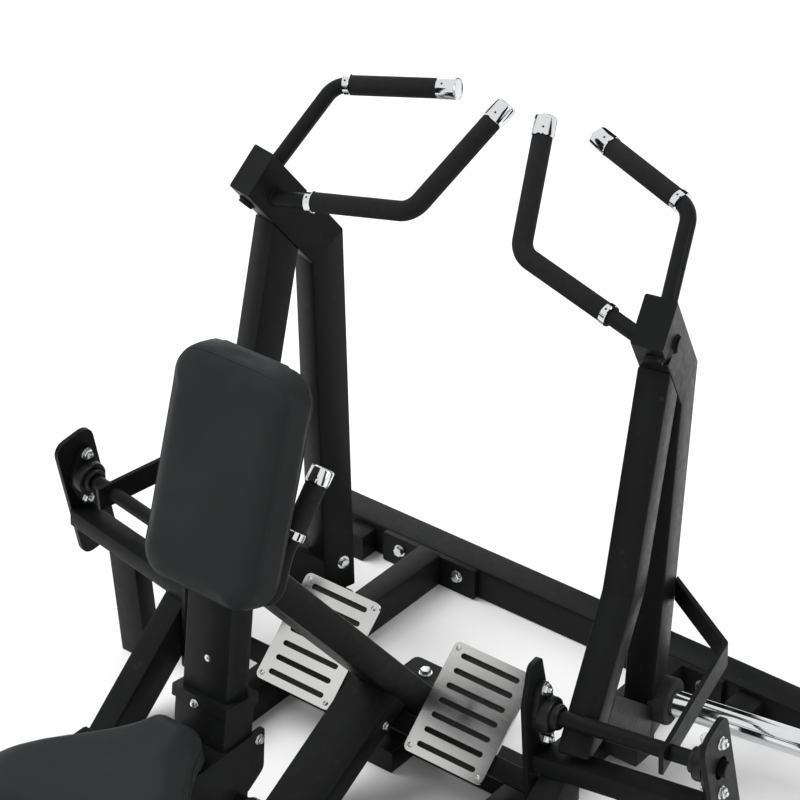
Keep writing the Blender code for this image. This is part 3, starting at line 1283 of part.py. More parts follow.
def build_pin(origin, shoulder, tip):
    """The pull pin: a knob outside the barrel and a plunger down to the post's hole."""
    outer = shoulder + PIN_KNOB_LENGTH
    edge = PIN_KNOB_EDGE
    profile = [(0, outer), (PIN_KNOB_RADIUS - edge, outer), (PIN_KNOB_RADIUS, outer - edge),
               (PIN_KNOB_RADIUS, shoulder + 3 * edge), (PIN_BARREL_RADIUS, shoulder),
               (PIN_RADIUS, shoulder), (PIN_RADIUS, tip + edge / 2),
               (PIN_RADIUS - edge / 2, tip), (0, tip)]
    turned("seat_pin", profile, origin, (1, 0, 0), CHROME, sides=24)


def hang_on(parent, items):
    """Parent the items and keep them where they are."""
    bpy.context.view_layer.update()
    for item in items:
        matrix = item.matrix_world.copy()
        item.parent = parent
        item.matrix_parent_inverse = parent.matrix_world.inverted()
        item.matrix_world = matrix


def empty(name, position):
    """An empty that marks a joint's axis."""
    item = bpy.data.objects.new(name, None)
    item.location = position
    item.empty_display_size = 0.05
    PARTS.objects.link(item)
    return item


ARM_NODES = ("shaft", "front_tube", "rear_tube", "head_tube", "link", "outer_brace",
             "weight_horn", "horn_collar", "upper_handle", "upper_grip", "lower_handle",
             "lower_grip")


def assemble():
    """Parent the moving pieces to their axes and centre the machine on the origin."""
    root = empty("machine_centre", (0, 0, 0))
    left = empty("left_arm_pivot", pivot_point(LEFT, PIVOT_X))
    right = empty("right_arm_pivot", pivot_point(RIGHT, PIVOT_X))
    slide = empty("seat_slide", carriage_centre(0))
    plunger = empty("seat_pin_slide", carriage_centre(PIN_BELOW_TOP))
    hang_on(root, (left, right, slide))
    hang_on(slide, (plunger,))
    carried = {"seat_pad": slide, "seat_carriage": slide, "seat_pin": plunger}
    for label in ARM_NODES:
        carried["left_" + label] = left
        carried["right_" + label] = right
    for item in list(PARTS.objects) + list(CUTTERS.objects):
        if item.type == "MESH":
            hang_on(carried.get(item.name, root), (item,))
    front = FRONT_BEAM_REAR_Y + FLOOR_BEAM_WIDTH
    root.location.y = -(front + REAR_BEAM_REAR_Y) / 2
    bpy.context.view_layer.update()


def build():
    """Build every sub-part of the machine."""
    build_floor()
    build_centre()
    build_pad()
    build_foot_plates()
    for side in (LEFT, RIGHT):
        build_side_frame(side)
        build_arm(side)
        build_grab_handle(side)
    build_seat()
    assemble()


build()
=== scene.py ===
# %% [markdown]
# # Dressing a plate-loaded row machine
# The welded frame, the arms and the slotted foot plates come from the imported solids.
# This lesson gives them their finishes and adds what a solid can't show: padded vinyl,
# foam grips, chrome rings and caps, bolts, nuts and plugs. Everything is in metres.

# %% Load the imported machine
import math

import bmesh
import bpy
from mathutils import Matrix, Vector
from mathutils.bvhtree import BVHTree


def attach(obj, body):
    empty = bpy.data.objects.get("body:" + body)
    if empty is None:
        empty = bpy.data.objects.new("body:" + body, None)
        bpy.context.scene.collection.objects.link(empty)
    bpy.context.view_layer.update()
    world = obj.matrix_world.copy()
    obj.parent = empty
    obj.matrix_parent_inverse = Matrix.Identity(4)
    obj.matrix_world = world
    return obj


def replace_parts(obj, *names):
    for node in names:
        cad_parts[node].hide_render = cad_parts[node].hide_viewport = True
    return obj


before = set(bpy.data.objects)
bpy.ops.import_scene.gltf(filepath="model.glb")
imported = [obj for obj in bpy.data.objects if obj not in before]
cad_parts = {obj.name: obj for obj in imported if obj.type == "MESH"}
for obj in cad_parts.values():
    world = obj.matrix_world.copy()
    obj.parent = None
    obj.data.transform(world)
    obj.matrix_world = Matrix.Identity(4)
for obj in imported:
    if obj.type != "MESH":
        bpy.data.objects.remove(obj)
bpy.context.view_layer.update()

# %% [markdown]
# The machine is the same on both sides, so each piece is worked out once for the right
# side and repeated with its X turned round. The measurements below have their zero a
# little in front of the middle of the floor print, seen from the user.

# %% Places and sides
SHIFT_Y = 0.0665
SIDES = {"left": -1, "right": 1}
STEEL_GAP = 0.0004
UP = Vector((0, 0, 1))


def at(x_value, y_value, z_value, side=1):
    """A measured place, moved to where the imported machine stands."""
    return Vector((side * x_value, y_value + SHIFT_Y, z_value))


def aim(x_value, y_value, z_value, side=1):
    """A direction, turned round for the left side."""
    return Vector((side * x_value, y_value, z_value)).normalized()


def facing(place, along):
    """A matrix at a place whose local Z runs along a direction."""
    turn = UP.rotation_difference(along.normalized())
    return Matrix.Translation(place) @ turn.to_matrix().to_4x4()


def into_scene(name, data):
    """A new object in the scene."""
    item = bpy.data.objects.new(name, data)
    bpy.context.scene.collection.objects.link(item)
    return item


print("sides:", list(SIDES))

# %% [markdown]
# ## The camera
# The photograph looks down on the machine from behind the user's right shoulder, through a
# long lens, so its lines hardly run together. A long lens far away gives the same drawing.

# %% Camera at the photograph's angle
FOCAL_PIXELS = 3050.0
PHOTO_WIDTH = 800.0
SENSOR = 36.0
CAMERA_PLACE = (2.87, -3.3835, 3.668)
CAMERA_TURN = (58.15, 0.0, 38.27)
FAR_CLIP = 60

camera_data = bpy.data.cameras.new("camera")
camera_data.sensor_width = SENSOR
camera_data.lens = FOCAL_PIXELS / PHOTO_WIDTH * SENSOR
camera_data.clip_end = FAR_CLIP
camera = into_scene("camera", camera_data)
camera.location = CAMERA_PLACE
camera.rotation_euler = [math.radians(angle) for angle in CAMERA_TURN]
bpy.context.scene.camera = camera
print("lens:", round(camera_data.lens, 1), "mm")

# %% [markdown]
# ## The studio
# The photograph is a catalogue picture: white all round, with one soft grey shadow under
# the machine. The world is white to the camera and to reflections, and lights the machine
# more gently. The floor takes the shadow.


# %% Node helpers
def new_material(name):
    """A new material with an empty node tree."""
    material = bpy.data.materials.new(name)
    material.use_nodes = True
    material.node_tree.nodes.clear()
    return material


def add_node(tree, kind, links=(), **values):
    """Add a shader node, set its properties and sockets, and link its inputs."""
    node = tree.nodes.new("ShaderNode" + kind)
    for key, value in values.items():
        if hasattr(node, key):
            setattr(node, key, value)
        else:
            node.inputs[key.replace("_", " ")].default_value = value
    for socket, source in links:
        tree.links.new(source, node.inputs[socket])
    return node


def sees_background(tree):
    """One for camera, glossy and transmission rays, nought for the rest."""
    path = add_node(tree, "LightPath")
    either = path.outputs["Is Camera Ray"]
    for ray in ("Is Glossy Ray", "Is Transmission Ray"):
        either = add_node(tree, "Math", [(0, either), (1, path.outputs[ray])],
                          operation="MAXIMUM").outputs[0]
    return either


print("helpers for materials are ready")

# %% White world
AMBIENT = 0.42

world = bpy.data.worlds.new("studio")
world.use_nodes = True
world.node_tree.nodes.clear()
soft = add_node(world.node_tree, "Background", Color=(1, 1, 1, 1), Strength=AMBIENT)
white = add_node(world.node_tree, "Background", Color=(1, 1, 1, 1), Strength=1.0)
choice = add_node(world.node_tree, "MixShader", [(0, sees_background(world.node_tree)),
                                                 (1, soft.outputs[0]), (2, white.outputs[0])])
add_node(world.node_tree, "OutputWorld", [("Surface", choice.outputs[0])])
bpy.context.scene.world = world
bpy.context.scene.view_settings.view_transform = "Standard"
print("ambient light:", AMBIENT)

# %% Floor that keeps the shadow
FLOOR_HALF = 14.0
FLOOR_GLOW = 0.03

floor_material = new_material("studio_floor")
tree = floor_material.node_tree
floor_paint = add_node(tree, "BsdfDiffuse", Color=(0.86, 0.86, 0.86, 1))
floor_glow = add_node(tree, "Emission", Color=(1, 1, 1, 1), Strength=FLOOR_GLOW)
lifted = add_node(tree, "AddShader", [(0, floor_paint.outputs[0]), (1, floor_glow.outputs[0])])
floor_mix = add_node(tree, "MixShader", [(0, sees_background(tree)),
                                         (1, floor_paint.outputs[0]), (2, lifted.outputs[0])])
add_node(tree, "OutputMaterial", [("Surface", floor_mix.outputs[0])])

floor_shape = bmesh.new()
bmesh.ops.create_grid(floor_shape, x_segments=1, y_segments=1, size=FLOOR_HALF)
floor_mesh = bpy.data.meshes.new("floor")
floor_shape.to_mesh(floor_mesh)
floor_shape.free()
floor_mesh.materials.append(floor_material)
floor = into_scene("floor", floor_mesh)
print("floor:", 2 * FLOOR_HALF, "m square")

# %% [markdown]
# One wide sun from the user's left draws the soft shadow between the beams. Two soft boxes
# brighten the right and the far side. Black cards, which only reflections see, stand round
# the machine and draw the dark lines in the chrome. One more hangs high on the user's left,
# where the right foot plate mirrors it as a dark band.


# %% Lamps
def sun(direction, strength, spread):
    """A sun that shines along a direction, as wide as a cloudy one, left out of mirrors."""
    lamp = bpy.data.lights.new("sun", "SUN")
    lamp.energy = strength
    lamp.angle = math.radians(spread)
    item = into_scene("sun", lamp)
    item.rotation_euler = Vector(direction).to_track_quat("-Z", "Y").to_euler()
    item.visible_glossy = False


def soft_box(name, place, target, size, power):
    """A square area lamp that looks at a target."""
    lamp = bpy.data.lights.new(name, "AREA")
    lamp.shape = "SQUARE"
    lamp.size = size
    lamp.energy = power
    item = into_scene(name, lamp)
    item.location = place
    item.rotation_euler = (Vector(target) - Vector(place)).to_track_quat("-Z", "Y").to_euler()


def card(name, place, target, width, height):
    """A matt black card that only reflections see."""
    card_shape = bmesh.new()
    bmesh.ops.create_grid(card_shape, x_segments=1, y_segments=1, size=0.5)
    turn = (Vector(target) - Vector(place)).to_track_quat("Z", "Y").to_matrix().to_4x4()
    matrix = Matrix.Translation(place) @ turn @ Matrix.Diagonal((width, height, 1, 1))
    bmesh.ops.transform(card_shape, matrix=matrix, verts=card_shape.verts)
    mesh = bpy.data.meshes.new(name)
    card_shape.to_mesh(mesh)
    card_shape.free()
    mesh.materials.append(card_material)
    item = into_scene(name, mesh)
    item.visible_camera = False
    item.visible_diffuse = False
    item.visible_shadow = False


card_material = new_material("matt_black")
tree = card_material.node_tree
black_paint = add_node(tree, "BsdfDiffuse", Color=(0.01, 0.01, 0.01, 1))
add_node(tree, "OutputMaterial", [("Surface", black_paint.outputs[0])])

CARDS = 7
FIRST_CARD = -4
CARD_REACH = 2.0
CARD_WIDE = 0.62
CARD_TALL = 2.4
PLATE_CARD = (-0.640, -0.768, 1.376)
PLATE_CARD_AIM = (-0.640, -0.086, 0.645)
SUN_WAY = (0.48, 0.32, -0.80)
AIM = (0, 0, 0.6)

sun(SUN_WAY, strength=3.15, spread=45)
soft_box("right_side", (4.2, 1.2, 2.4), AIM, size=2.4, power=50)
soft_box("left_back", (-3.0, 2.6, 2.6), AIM, size=2.0, power=20)
card("plate_card", PLATE_CARD, PLATE_CARD_AIM, width=0.34, height=0.17)
for number in range(CARDS):
    bearing = math.radians(FIRST_CARD + number * 360 / CARDS)
    place = (CARD_REACH * math.cos(bearing), CARD_REACH * math.sin(bearing), CARD_TALL / 2)
    card("card_" + str(number), place, (0, 0, CARD_TALL / 2), CARD_WIDE, CARD_TALL)
print("lamps:", len(bpy.data.lights))

# %% [markdown]
# ## Finishes
# Each finish starts from noise in object space, so it stays put on the piece. Powder coat
# has a fine orange-peel skin and slightly cloudy gloss. Handling leaves the gloss uneven and
# a few pale rub marks, which come from thresholded noise.


# %% Shared pattern nodes
def object_noise(tree, scale, detail, squeeze=(1, 1, 1)):
    """Noise on object coordinates, at a scale in repeats for each metre."""
    place = add_node(tree, "TexCoord")
    mapping = add_node(tree, "Mapping", [("Vector", place.outputs["Object"])], Scale=squeeze)
    noise = add_node(tree, "TexNoise", [("Vector", mapping.outputs[0])], Scale=scale,
                     Detail=detail)
    return noise.outputs["Fac"]


def ranged(tree, source, low, high, to_low, to_high):
    """A source's stretch from low to high, spread over another range."""
    return add_node(tree, "MapRange", [("Value", source)], From_Min=low, From_Max=high,
                    To_Min=to_low, To_Max=to_high).outputs[0]


def two_tone(tree, factor, first, second):
    """A colour between two, chosen by a factor."""
    mix = add_node(tree, "Mix", [(0, factor)], data_type="RGBA")
    mix.inputs[6].default_value = (*first, 1)
    mix.inputs[7].default_value = (*second, 1)
    return mix.outputs[2]


def bumped(tree, height, strength, distance, before=None):
    """A normal bent by a height pattern."""
    bump = add_node(tree, "Bump", [("Height", height)], Strength=strength, Distance=distance)
    if before is not None:
        tree.links.new(before, bump.inputs["Normal"])
    return bump.outputs[0]


def surface(material, color, roughness, normal, metallic=0.0, specular=0.5, **constants):
    """Finish a material from linked colour, roughness and normal, and plain constants."""
    tree = material.node_tree
    shader = add_node(tree, "BsdfPrincipled", [("Base Color", color), ("Roughness", roughness),
                                               ("Normal", normal)],
                      Metallic=metallic, Specular_IOR_Level=specular, **constants)
    add_node(tree, "OutputMaterial", [("Surface", shader.outputs[0])])
    return material


print("pattern helpers are ready")


# %% Powder coat
def powder_coat(name, deep, pale, gloss, specular):
    """Black powder coat: orange peel, cloudy gloss and faint rub marks."""
    material = new_material(name)
    tree = material.node_tree
    cloud = object_noise(tree, 5.0, 4.0)
    rub = ranged(tree, object_noise(tree, 55.0, 6.0), 0.64, 0.80, 0.0, 1.0)
    shade = ranged(tree, cloud, 0.3, 0.7, 0.0, 1.0)
    base = two_tone(tree, shade, deep, pale)
    worn = add_node(tree, "Mix", [(0, rub), (6, base)], data_type="RGBA")
    worn.inputs[7].default_value = (0.020, 0.020, 0.0205, 1)
    rough = ranged(tree, object_noise(tree, 60.0, 5.0), 0.3, 0.7, gloss - 0.05, gloss + 0.07)
    peel = bumped(tree, object_noise(tree, 900.0, 2.0), 0.25, 0.0004)
    return surface(material, worn.outputs[2], rough, peel, specular=specular)


paint = powder_coat("black_powder_coat", (0.0065, 0.0067, 0.0069), (0.0092, 0.0096, 0.0099),
                    0.40, 0.10)
iron = powder_coat("cast_iron_paint", (0.005, 0.005, 0.005), (0.010, 0.010, 0.010), 0.32, 0.26)
print("made:", paint.name, iron.name)

# %% [markdown]
# Chrome is a mirror with faint finger marks, zinc on the bolts is duller and finely
# mottled, and the foot plates are brushed from side to side: noise that is stretched far
# along the strokes draws them.


# %% Metals
def chrome_plate():
    """Polished chrome with faint marks."""
    material = new_material("polished_chrome")
    tree = material.node_tree
    marks = object_noise(tree, 45.0, 5.0)
    color = two_tone(tree, marks, (0.66, 0.67, 0.68), (0.76, 0.77, 0.78))
    rough = ranged(tree, marks, 0.35, 0.75, 0.05, 0.13)
    normal = bumped(tree, object_noise(tree, 20.0, 1.0), 0.05, 0.0001)
    return surface(material, color, rough, normal, metallic=1.0)


def zinc_plate():
    """Bright zinc on bolts, washers and nuts."""
    material = new_material("bright_zinc")
    tree = material.node_tree
    spots = object_noise(tree, 500.0, 3.0)
    color = two_tone(tree, spots, (0.62, 0.63, 0.64), (0.84, 0.85, 0.85))
    rough = ranged(tree, spots, 0.3, 0.7, 0.16, 0.32)
    normal = bumped(tree, object_noise(tree, 1500.0, 1.0), 0.15, 0.0002)
    return surface(material, color, rough, normal, metallic=1.0)


def brushed_plate():
    """Stainless plate brushed from side to side."""
    material = new_material("brushed_stainless")
    tree = material.node_tree
    strokes = object_noise(tree, 900.0, 3.0, (0.012, 1, 1))
    broad = object_noise(tree, 9.0, 2.0, (0.3, 1, 1))
    tone = add_node(tree, "Math", [(0, strokes), (1, broad)], operation="ADD")
    color = two_tone(tree, ranged(tree, tone.outputs[0], 0.7, 1.3, 0.0, 1.0),
                     (0.59, 0.59, 0.585), (0.68, 0.68, 0.67))
    rough = ranged(tree, strokes, 0.3, 0.7, 0.15, 0.20)
    normal = bumped(tree, strokes, 0.05, 0.0003)
    return surface(material, color, rough, normal, metallic=1.0, Anisotropic=0.5)


chrome = chrome_plate()
zinc = zinc_plate()
brushed = brushed_plate()
print("made:", chrome.name, zinc.name, brushed.name)

# %% [markdown]
# The cushions are covered in a charcoal vinyl with a fine leather grain. A cell pattern
# gives the grain's islands and noise breaks them up. Foam grips are dull and full of small
# pores, and moulded rubber is a little smoother.


# %% Soft finishes
def vinyl_cover():
    """Charcoal upholstery vinyl with a fine grain."""
    material = new_material("charcoal_vinyl")
    tree = material.node_tree
    place = add_node(tree, "TexCoord")
    cells = add_node(tree, "TexVoronoi", [("Vector", place.outputs["Object"])], Scale=620.0)
    islands = bumped(tree, cells.outputs["Distance"], 0.20, 0.0005)
    grain = bumped(tree, object_noise(tree, 260.0, 5.0), 0.18, 0.0006, islands)
    cloud = object_noise(tree, 7.0, 3.0)
    color = two_tone(tree, ranged(tree, cloud, 0.3, 0.7, 0.0, 1.0), (0.0180, 0.0190, 0.0196),
                     (0.0215, 0.0226, 0.0233))
    rough = ranged(tree, object_noise(tree, 24.0, 4.0), 0.3, 0.7, 0.42, 0.54)
    return surface(material, color, rough, grain, specular=0.08)


def dull_skin(name, deep, pale, scale, depth, rough_low, specular=0.25):
    """A dull black foam or rubber with pores."""
    material = new_material(name)
    tree = material.node_tree
    pores = object_noise(tree, scale, 4.0)
    color = two_tone(tree, ranged(tree, pores, 0.35, 0.65, 0.0, 1.0), deep, pale)
    rough = ranged(tree, object_noise(tree, 70.0, 3.0), 0.3, 0.7, rough_low, rough_low + 0.12)
    return surface(material, color, rough, bumped(tree, pores, 0.5, depth), specular=specular)


vinyl = vinyl_cover()
foam = dull_skin("foam", (0.006, 0.006, 0.006), (0.015, 0.015, 0.015), 1300.0, 0.0006, 0.78)
rubber = dull_skin("rubber", (0.010, 0.010, 0.010), (0.018, 0.018, 0.018), 420.0, 0.0004, 0.6)
plastic = dull_skin("plastic", (0.009, 0.009, 0.009), (0.013, 0.013, 0.013), 900.0, 0.0002, 0.45)
board = dull_skin("stained_board", (0.012, 0.010, 0.008), (0.034, 0.028, 0.022), 90.0, 0.0005,
                  0.6)
print("made:", vinyl.name, foam.name, rubber.name, plastic.name, board.name)

# %% [markdown]
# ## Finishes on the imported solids
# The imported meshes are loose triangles, so round tubes look faceted. A small node group
# joins their points and smooths shading across every edge flatter than a set angle. The
# mesh itself isn't touched.

# %% Round shading for the solids
SMOOTH_LIMIT = math.radians(32)
JOIN_DISTANCE = 0.00002


def round_shading_group():
    """Geometry nodes that merge points and mark only real edges as sharp."""
    group = bpy.data.node_groups.new("round_shading", "GeometryNodeTree")
    for way in ("INPUT", "OUTPUT"):
        group.interface.new_socket("Geometry", in_out=way, socket_type="NodeSocketGeometry")
    start = group.nodes.new("NodeGroupInput")
    end = group.nodes.new("NodeGroupOutput")
    merge = group.nodes.new("GeometryNodeMergeByDistance")
    merge.inputs["Distance"].default_value = JOIN_DISTANCE
    faces = group.nodes.new("GeometryNodeSetShadeSmooth")
    faces.domain = "FACE"
    edges = group.nodes.new("GeometryNodeSetShadeSmooth")
    edges.domain = "EDGE"
    edges.inputs["Shade Smooth"].default_value = False
    angle = group.nodes.new("GeometryNodeInputMeshEdgeAngle")
    limit = group.nodes.new("FunctionNodeCompare")
    limit.operation = "GREATER_THAN"
    limit.inputs[1].default_value = SMOOTH_LIMIT
    for source, target, socket in ((start, merge, "Geometry"), (merge, faces, "Geometry"),
                                   (faces, edges, "Geometry"), (angle, limit, 0),
                                   (limit, edges, "Selection"), (edges, end, 0)):
        group.links.new(source.outputs[0], target.inputs[socket])
    return group


round_shading = round_shading_group()
print("group:", round_shading.name)

# %% Give every solid its finish
FINISH_OF = {"foot_plate": brushed, "stop": rubber, "inner_bearing": iron,
             "outer_bearing": iron, "seat_pin": chrome, "pad_board": board}

for name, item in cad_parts.items():
    short = name.split("_", 1)[1] if name.split("_")[0] in SIDES else name
    chosen = FINISH_OF.get(short, paint)
    if not item.material_slots:
        item.data.materials.append(chosen)
    for slot in item.material_slots:
        slot.link = "OBJECT"
        slot.material = chosen
    shading = item.modifiers.new("round_shading", "NODES")
    shading.node_group = round_shading
print("finished solids:", len(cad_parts))

# %% [markdown]
# ## Turning a bmesh into a piece
# Every new piece goes through one function. It points the faces outwards, shades the round
# ones smooth, and says which body the piece moves with and which finish it stands for.


# %% From bmesh to piece
SAME_PLACE = 0.00001


def piece(name, shape, body, material, sharp=32):
    """Make a piece in the scene from an edited mesh."""
    bmesh.ops.recalc_face_normals(shape, faces=shape.faces)
    mesh = bpy.data.meshes.new(name)
    shape.to_mesh(mesh)
    shape.free()
    mesh.materials.append(material)
    mesh.shade_smooth()
    mesh.set_sharp_from_angle(angle=math.radians(sharp))
    item = into_scene(name, mesh)
    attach(item, body)
    print(name, "faces:", len(mesh.polygons), "on", body)
    return item


def edges_of(verts):
    """The edges at some points, each once."""
    return list(dict.fromkeys(edge for vertex in verts for edge in vertex.link_edges))


def soften(shape, edges, offset, segments):
    """Bevel edges to a round and return the points of the new faces."""
    made = bmesh.ops.bevel(shape, geom=edges, offset=offset, segments=segments, profile=0.5,
                           affect="EDGES", material=-1)
    return list(dict.fromkeys(vertex for face in made["faces"] for vertex in face.verts))


def lathe(shape, profile, matrix, steps):
    """Spin a (radius, height) profile about its own axis and put it in place."""
    points = [shape.verts.new((radius, 0, height)) for radius, height in profile]
    edges = [shape.edges.new(pair) for pair in zip(points, points[1:])]
    bmesh.ops.spin(shape, geom=points + edges, cent=(0, 0, 0), axis=(0, 0, 1),
                   angle=math.tau, steps=steps, use_merge=True, use_duplicate=False)
    found = dict.fromkeys(points)
    walk = list(points)
    while walk:
        for edge in walk.pop().link_edges:
            for vertex in edge.verts:
                if vertex not in found:
                    found[vertex] = None
                    walk.append(vertex)
    bmesh.ops.remove_doubles(shape, verts=list(found), dist=SAME_PLACE)
    found = [vertex for vertex in found if vertex.is_valid]
    bmesh.ops.transform(shape, matrix=matrix, verts=found)


print("ready to make pieces")

# %% [markdown]
# ## Handles
# Each arm ends in two bent tubes, and a third one stands on each side of the post. A path
# is a few corners joined by arcs. The tube, the foam and the chrome are all swept along
# stretches of the same path, so they can't drift apart.

# %% Paths
BEND_STEPS = 12
LEAST_STEP = 0.0008


def bent_path(corners, radius):
    """A path through corners, with an arc at each inner corner."""
    points = [corners[0]]
    for before, here, after in zip(corners, corners[1:], corners[2:]):
        to_before = (before - here).normalized()
        to_after = (after - here).normalized()
        half = to_before.angle(to_after) / 2
        reach = radius / math.tan(half)
        centre = here + (to_before + to_after).normalized() * (radius / math.sin(half))
        first = here + to_before * reach - centre
        last = here + to_after * reach - centre
        axis = first.cross(last).normalized()
        for step in range(BEND_STEPS + 1):
            angle = first.angle(last) * step / BEND_STEPS
            points.append(centre + Matrix.Rotation(angle, 3, axis) @ first)
    return points + [corners[-1]]


def length_of(points):
    """The length along a path."""
    return sum((after - before).length for before, after in zip(points, points[1:]))


def along(points, distance):
    """The place at a distance along a path, and the way the path runs there."""
    for before, after in zip(points, points[1:]):
        step = (after - before).length
        if distance <= step:
            return before.lerp(after, distance / step), (after - before).normalized()
        distance -= step
    return points[-1] + (points[-1] - points[-2]).normalized() * distance, \
        (points[-1] - points[-2]).normalized()


def sections(points, stations):
    """Places and radii for a sweep, with the path's own corners in between."""
    radii = dict(stations)
    marks = dict(stations)
    travelled = 0.0
    first = stations[0][0]
    last = stations[-1][0]
    for before, after in zip(points, points[1:]):
        travelled += (after - before).length
        if first < travelled < last and all(abs(travelled - mark) > LEAST_STEP for mark in marks):
            lower = max(mark for mark in radii if mark < travelled)
            upper = min(mark for mark in radii if mark > travelled)
            share = (travelled - lower) / (upper - lower)
            marks[travelled] = radii[lower] * (1 - share) + radii[upper] * share
    return [(along(points, mark)[0], marks[mark]) for mark in sorted(marks)]


print("path helpers are ready")


# %% Sweeping a round section
def baked(item):
    """A mesh of an object as its modifiers or its bevel show it."""
    bpy.context.view_layer.update()
    evaluated = item.evaluated_get(bpy.context.evaluated_depsgraph_get())
    return bpy.data.meshes.new_from_object(evaluated)


def sweep(shape, places, resolution=14):
    """Sweep a round section through (place, radius) pairs and add it to a bmesh."""
    curve = bpy.data.curves.new("sweep", "CURVE")
    curve.dimensions = "3D"
    curve.bevel_depth = 1.0
    curve.bevel_resolution = resolution
    curve.use_fill_caps = True
    spline = curve.splines.new("POLY")
    spline.points.add(len(places) - 1)
    for point, (position, radius) in zip(spline.points, places):
        point.co = (*position, 1.0)
        point.radius = radius
    item = into_scene("sweep", curve)
    mesh = baked(item)
    bpy.data.objects.remove(item)
    bpy.data.curves.remove(curve)
    before = set(shape.verts)
    shape.from_mesh(mesh)
    bpy.data.meshes.remove(mesh)
    added = [vertex for vertex in shape.verts if vertex not in before]
    bmesh.ops.remove_doubles(shape, verts=added, dist=SAME_PLACE)


print("sweep is ready")

# %% [markdown]
# The foam sleeve has soft lips at both ends. A chrome ring holds its inner end and a
# chrome cap its outer end. Both are held by a small black grub screw, which the photograph
# shows as a dark dot.

# %% Handle sizes
TUBE_RADIUS = 0.015
GRIP_RADIUS = 0.019
GRIP_LIP = 0.0022
RING_RADIUS = 0.0206
RING_LENGTH = 0.014
CAP_RADIUS = 0.0212
CAP_LENGTH = 0.040
CAP_EDGE = 0.0022
TUBE_IN_CAP = 0.010
HANDLE_BEND = 0.045
GRAB_BEND = 0.030
CAP_PROFILE = ((1.6, 0.0), (0.8, 0.3), (0.2, 1.0), (0.0, 2.0))
GRUB_RADIUS = 0.0021
GRUB_HEIGHT = 0.0012
GRUB_WAY = aim(0.35, -0.55, 0.75)


def grub_screw(shape, points, distance, radius):
    """A small socket screw that sits in a round piece, on its upper user side."""
    place, way = along(points, distance)
    out = (GRUB_WAY - way * GRUB_WAY.dot(way)).normalized()
    bmesh.ops.create_cone(shape, cap_ends=True, segments=12, radius1=GRUB_RADIUS,
                          radius2=GRUB_RADIUS, depth=GRUB_HEIGHT,
                          matrix=facing(place + out * (radius - GRUB_HEIGHT / 4), out))


print("grip diameter:", 2 * GRIP_RADIUS)


# %% One dressed handle
def handle(prefix, body, points, grip_start, cap_length=CAP_LENGTH):
    """Black tube, foam grip, chrome ring and cap, and their grub screws."""
    total = length_of(points)
    cap_start = total - cap_length
    tube = bmesh.new()
    sweep(tube, sections(points, [(0.0, TUBE_RADIUS), (cap_start + TUBE_IN_CAP, TUBE_RADIUS)]))
    tube_piece = piece(prefix + "_tube", tube, body, paint)
    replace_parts(tube_piece, prefix + "_handle")

    grip = bmesh.new()
    first = grip_start + STEEL_GAP
    last = cap_start - STEEL_GAP
    lip = GRIP_LIP
    sweep(grip, sections(points, [(first, GRIP_RADIUS - lip),
                                  (first + lip / 3, GRIP_RADIUS - lip / 3),
                                  (first + lip, GRIP_RADIUS), (last - lip, GRIP_RADIUS),
                                  (last - lip / 3, GRIP_RADIUS - lip / 3),
                                  (last, GRIP_RADIUS - lip)]))
    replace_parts(piece(prefix + "_foam", grip, body, foam), prefix + "_grip")

    bright = bmesh.new()
    edge = CAP_EDGE / 2
    ring = grip_start - RING_LENGTH
    sweep(bright, sections(points, [(ring, RING_RADIUS - edge), (ring + edge, RING_RADIUS),
                                    (grip_start - edge, RING_RADIUS),
                                    (grip_start, RING_RADIUS - edge)]))
    cap = [(cap_start, CAP_RADIUS - edge), (cap_start + edge, CAP_RADIUS)]
    cap += [(total - back * CAP_EDGE, CAP_RADIUS - inset * CAP_EDGE)
            for back, inset in CAP_PROFILE]
    sweep(bright, sections(points, cap))
    piece(prefix + "_chrome", bright, body, chrome)

    screws = bmesh.new()
    grub_screw(screws, points, grip_start - RING_LENGTH / 2, RING_RADIUS)
    grub_screw(screws, points, cap_start + cap_length / 3, CAP_RADIUS)
    piece(prefix + "_grubs", screws, body, rubber)


# %% Make the six handles
UPPER = ((0.4455, 0.345, 1.0245), (0.395, 0.495, 1.177), (0.154, 0.557, 1.217))
LOWER = ((0.4689, 0.3281, 0.9899), (0.122, 0.376, 1.050), (0.043, 0.555, 1.222))
GRAB = ((0.0503, -0.292, 0.660), (0.105, -0.292, 0.660), (0.105, -0.258, 0.742),
        (0.105, -0.153, 0.8615))
UPPER_GRIP_START = 0.2503
LOWER_GRIP_START = 0.1459
GRAB_GRIP_LENGTH = 0.087
GRAB_CAP_LENGTH = 0.030

for side_name, side in SIDES.items():
    arm = side_name + "_arm"
    upper = bent_path([at(*place, side) for place in UPPER], HANDLE_BEND)
    handle(side_name + "_upper", arm, upper, UPPER_GRIP_START)
    lower = bent_path([at(*place, side) for place in LOWER], HANDLE_BEND)
    handle(side_name + "_lower", arm, lower, LOWER_GRIP_START)
    grab = bent_path([at(*place, side) for place in GRAB], GRAB_BEND)
    handle(side_name + "_grab", "frame", grab,
           length_of(grab) - GRAB_CAP_LENGTH - GRAB_GRIP_LENGTH, GRAB_CAP_LENGTH)

# %% [markdown]
# Both handle tubes go right through the head of the arm. Their closed ends show on its far
# sides as a short stub with a weld ring, black like the rest.

# %% Handle ends on the far side of the head
STUB_REACH = 0.008
STUB_ROOT = 0.004
STUB_CHAMFER = 0.001
WELD_RADIUS = 0.0026
WELD_SWELL = 0.16
WELD_RIPPLES = 26


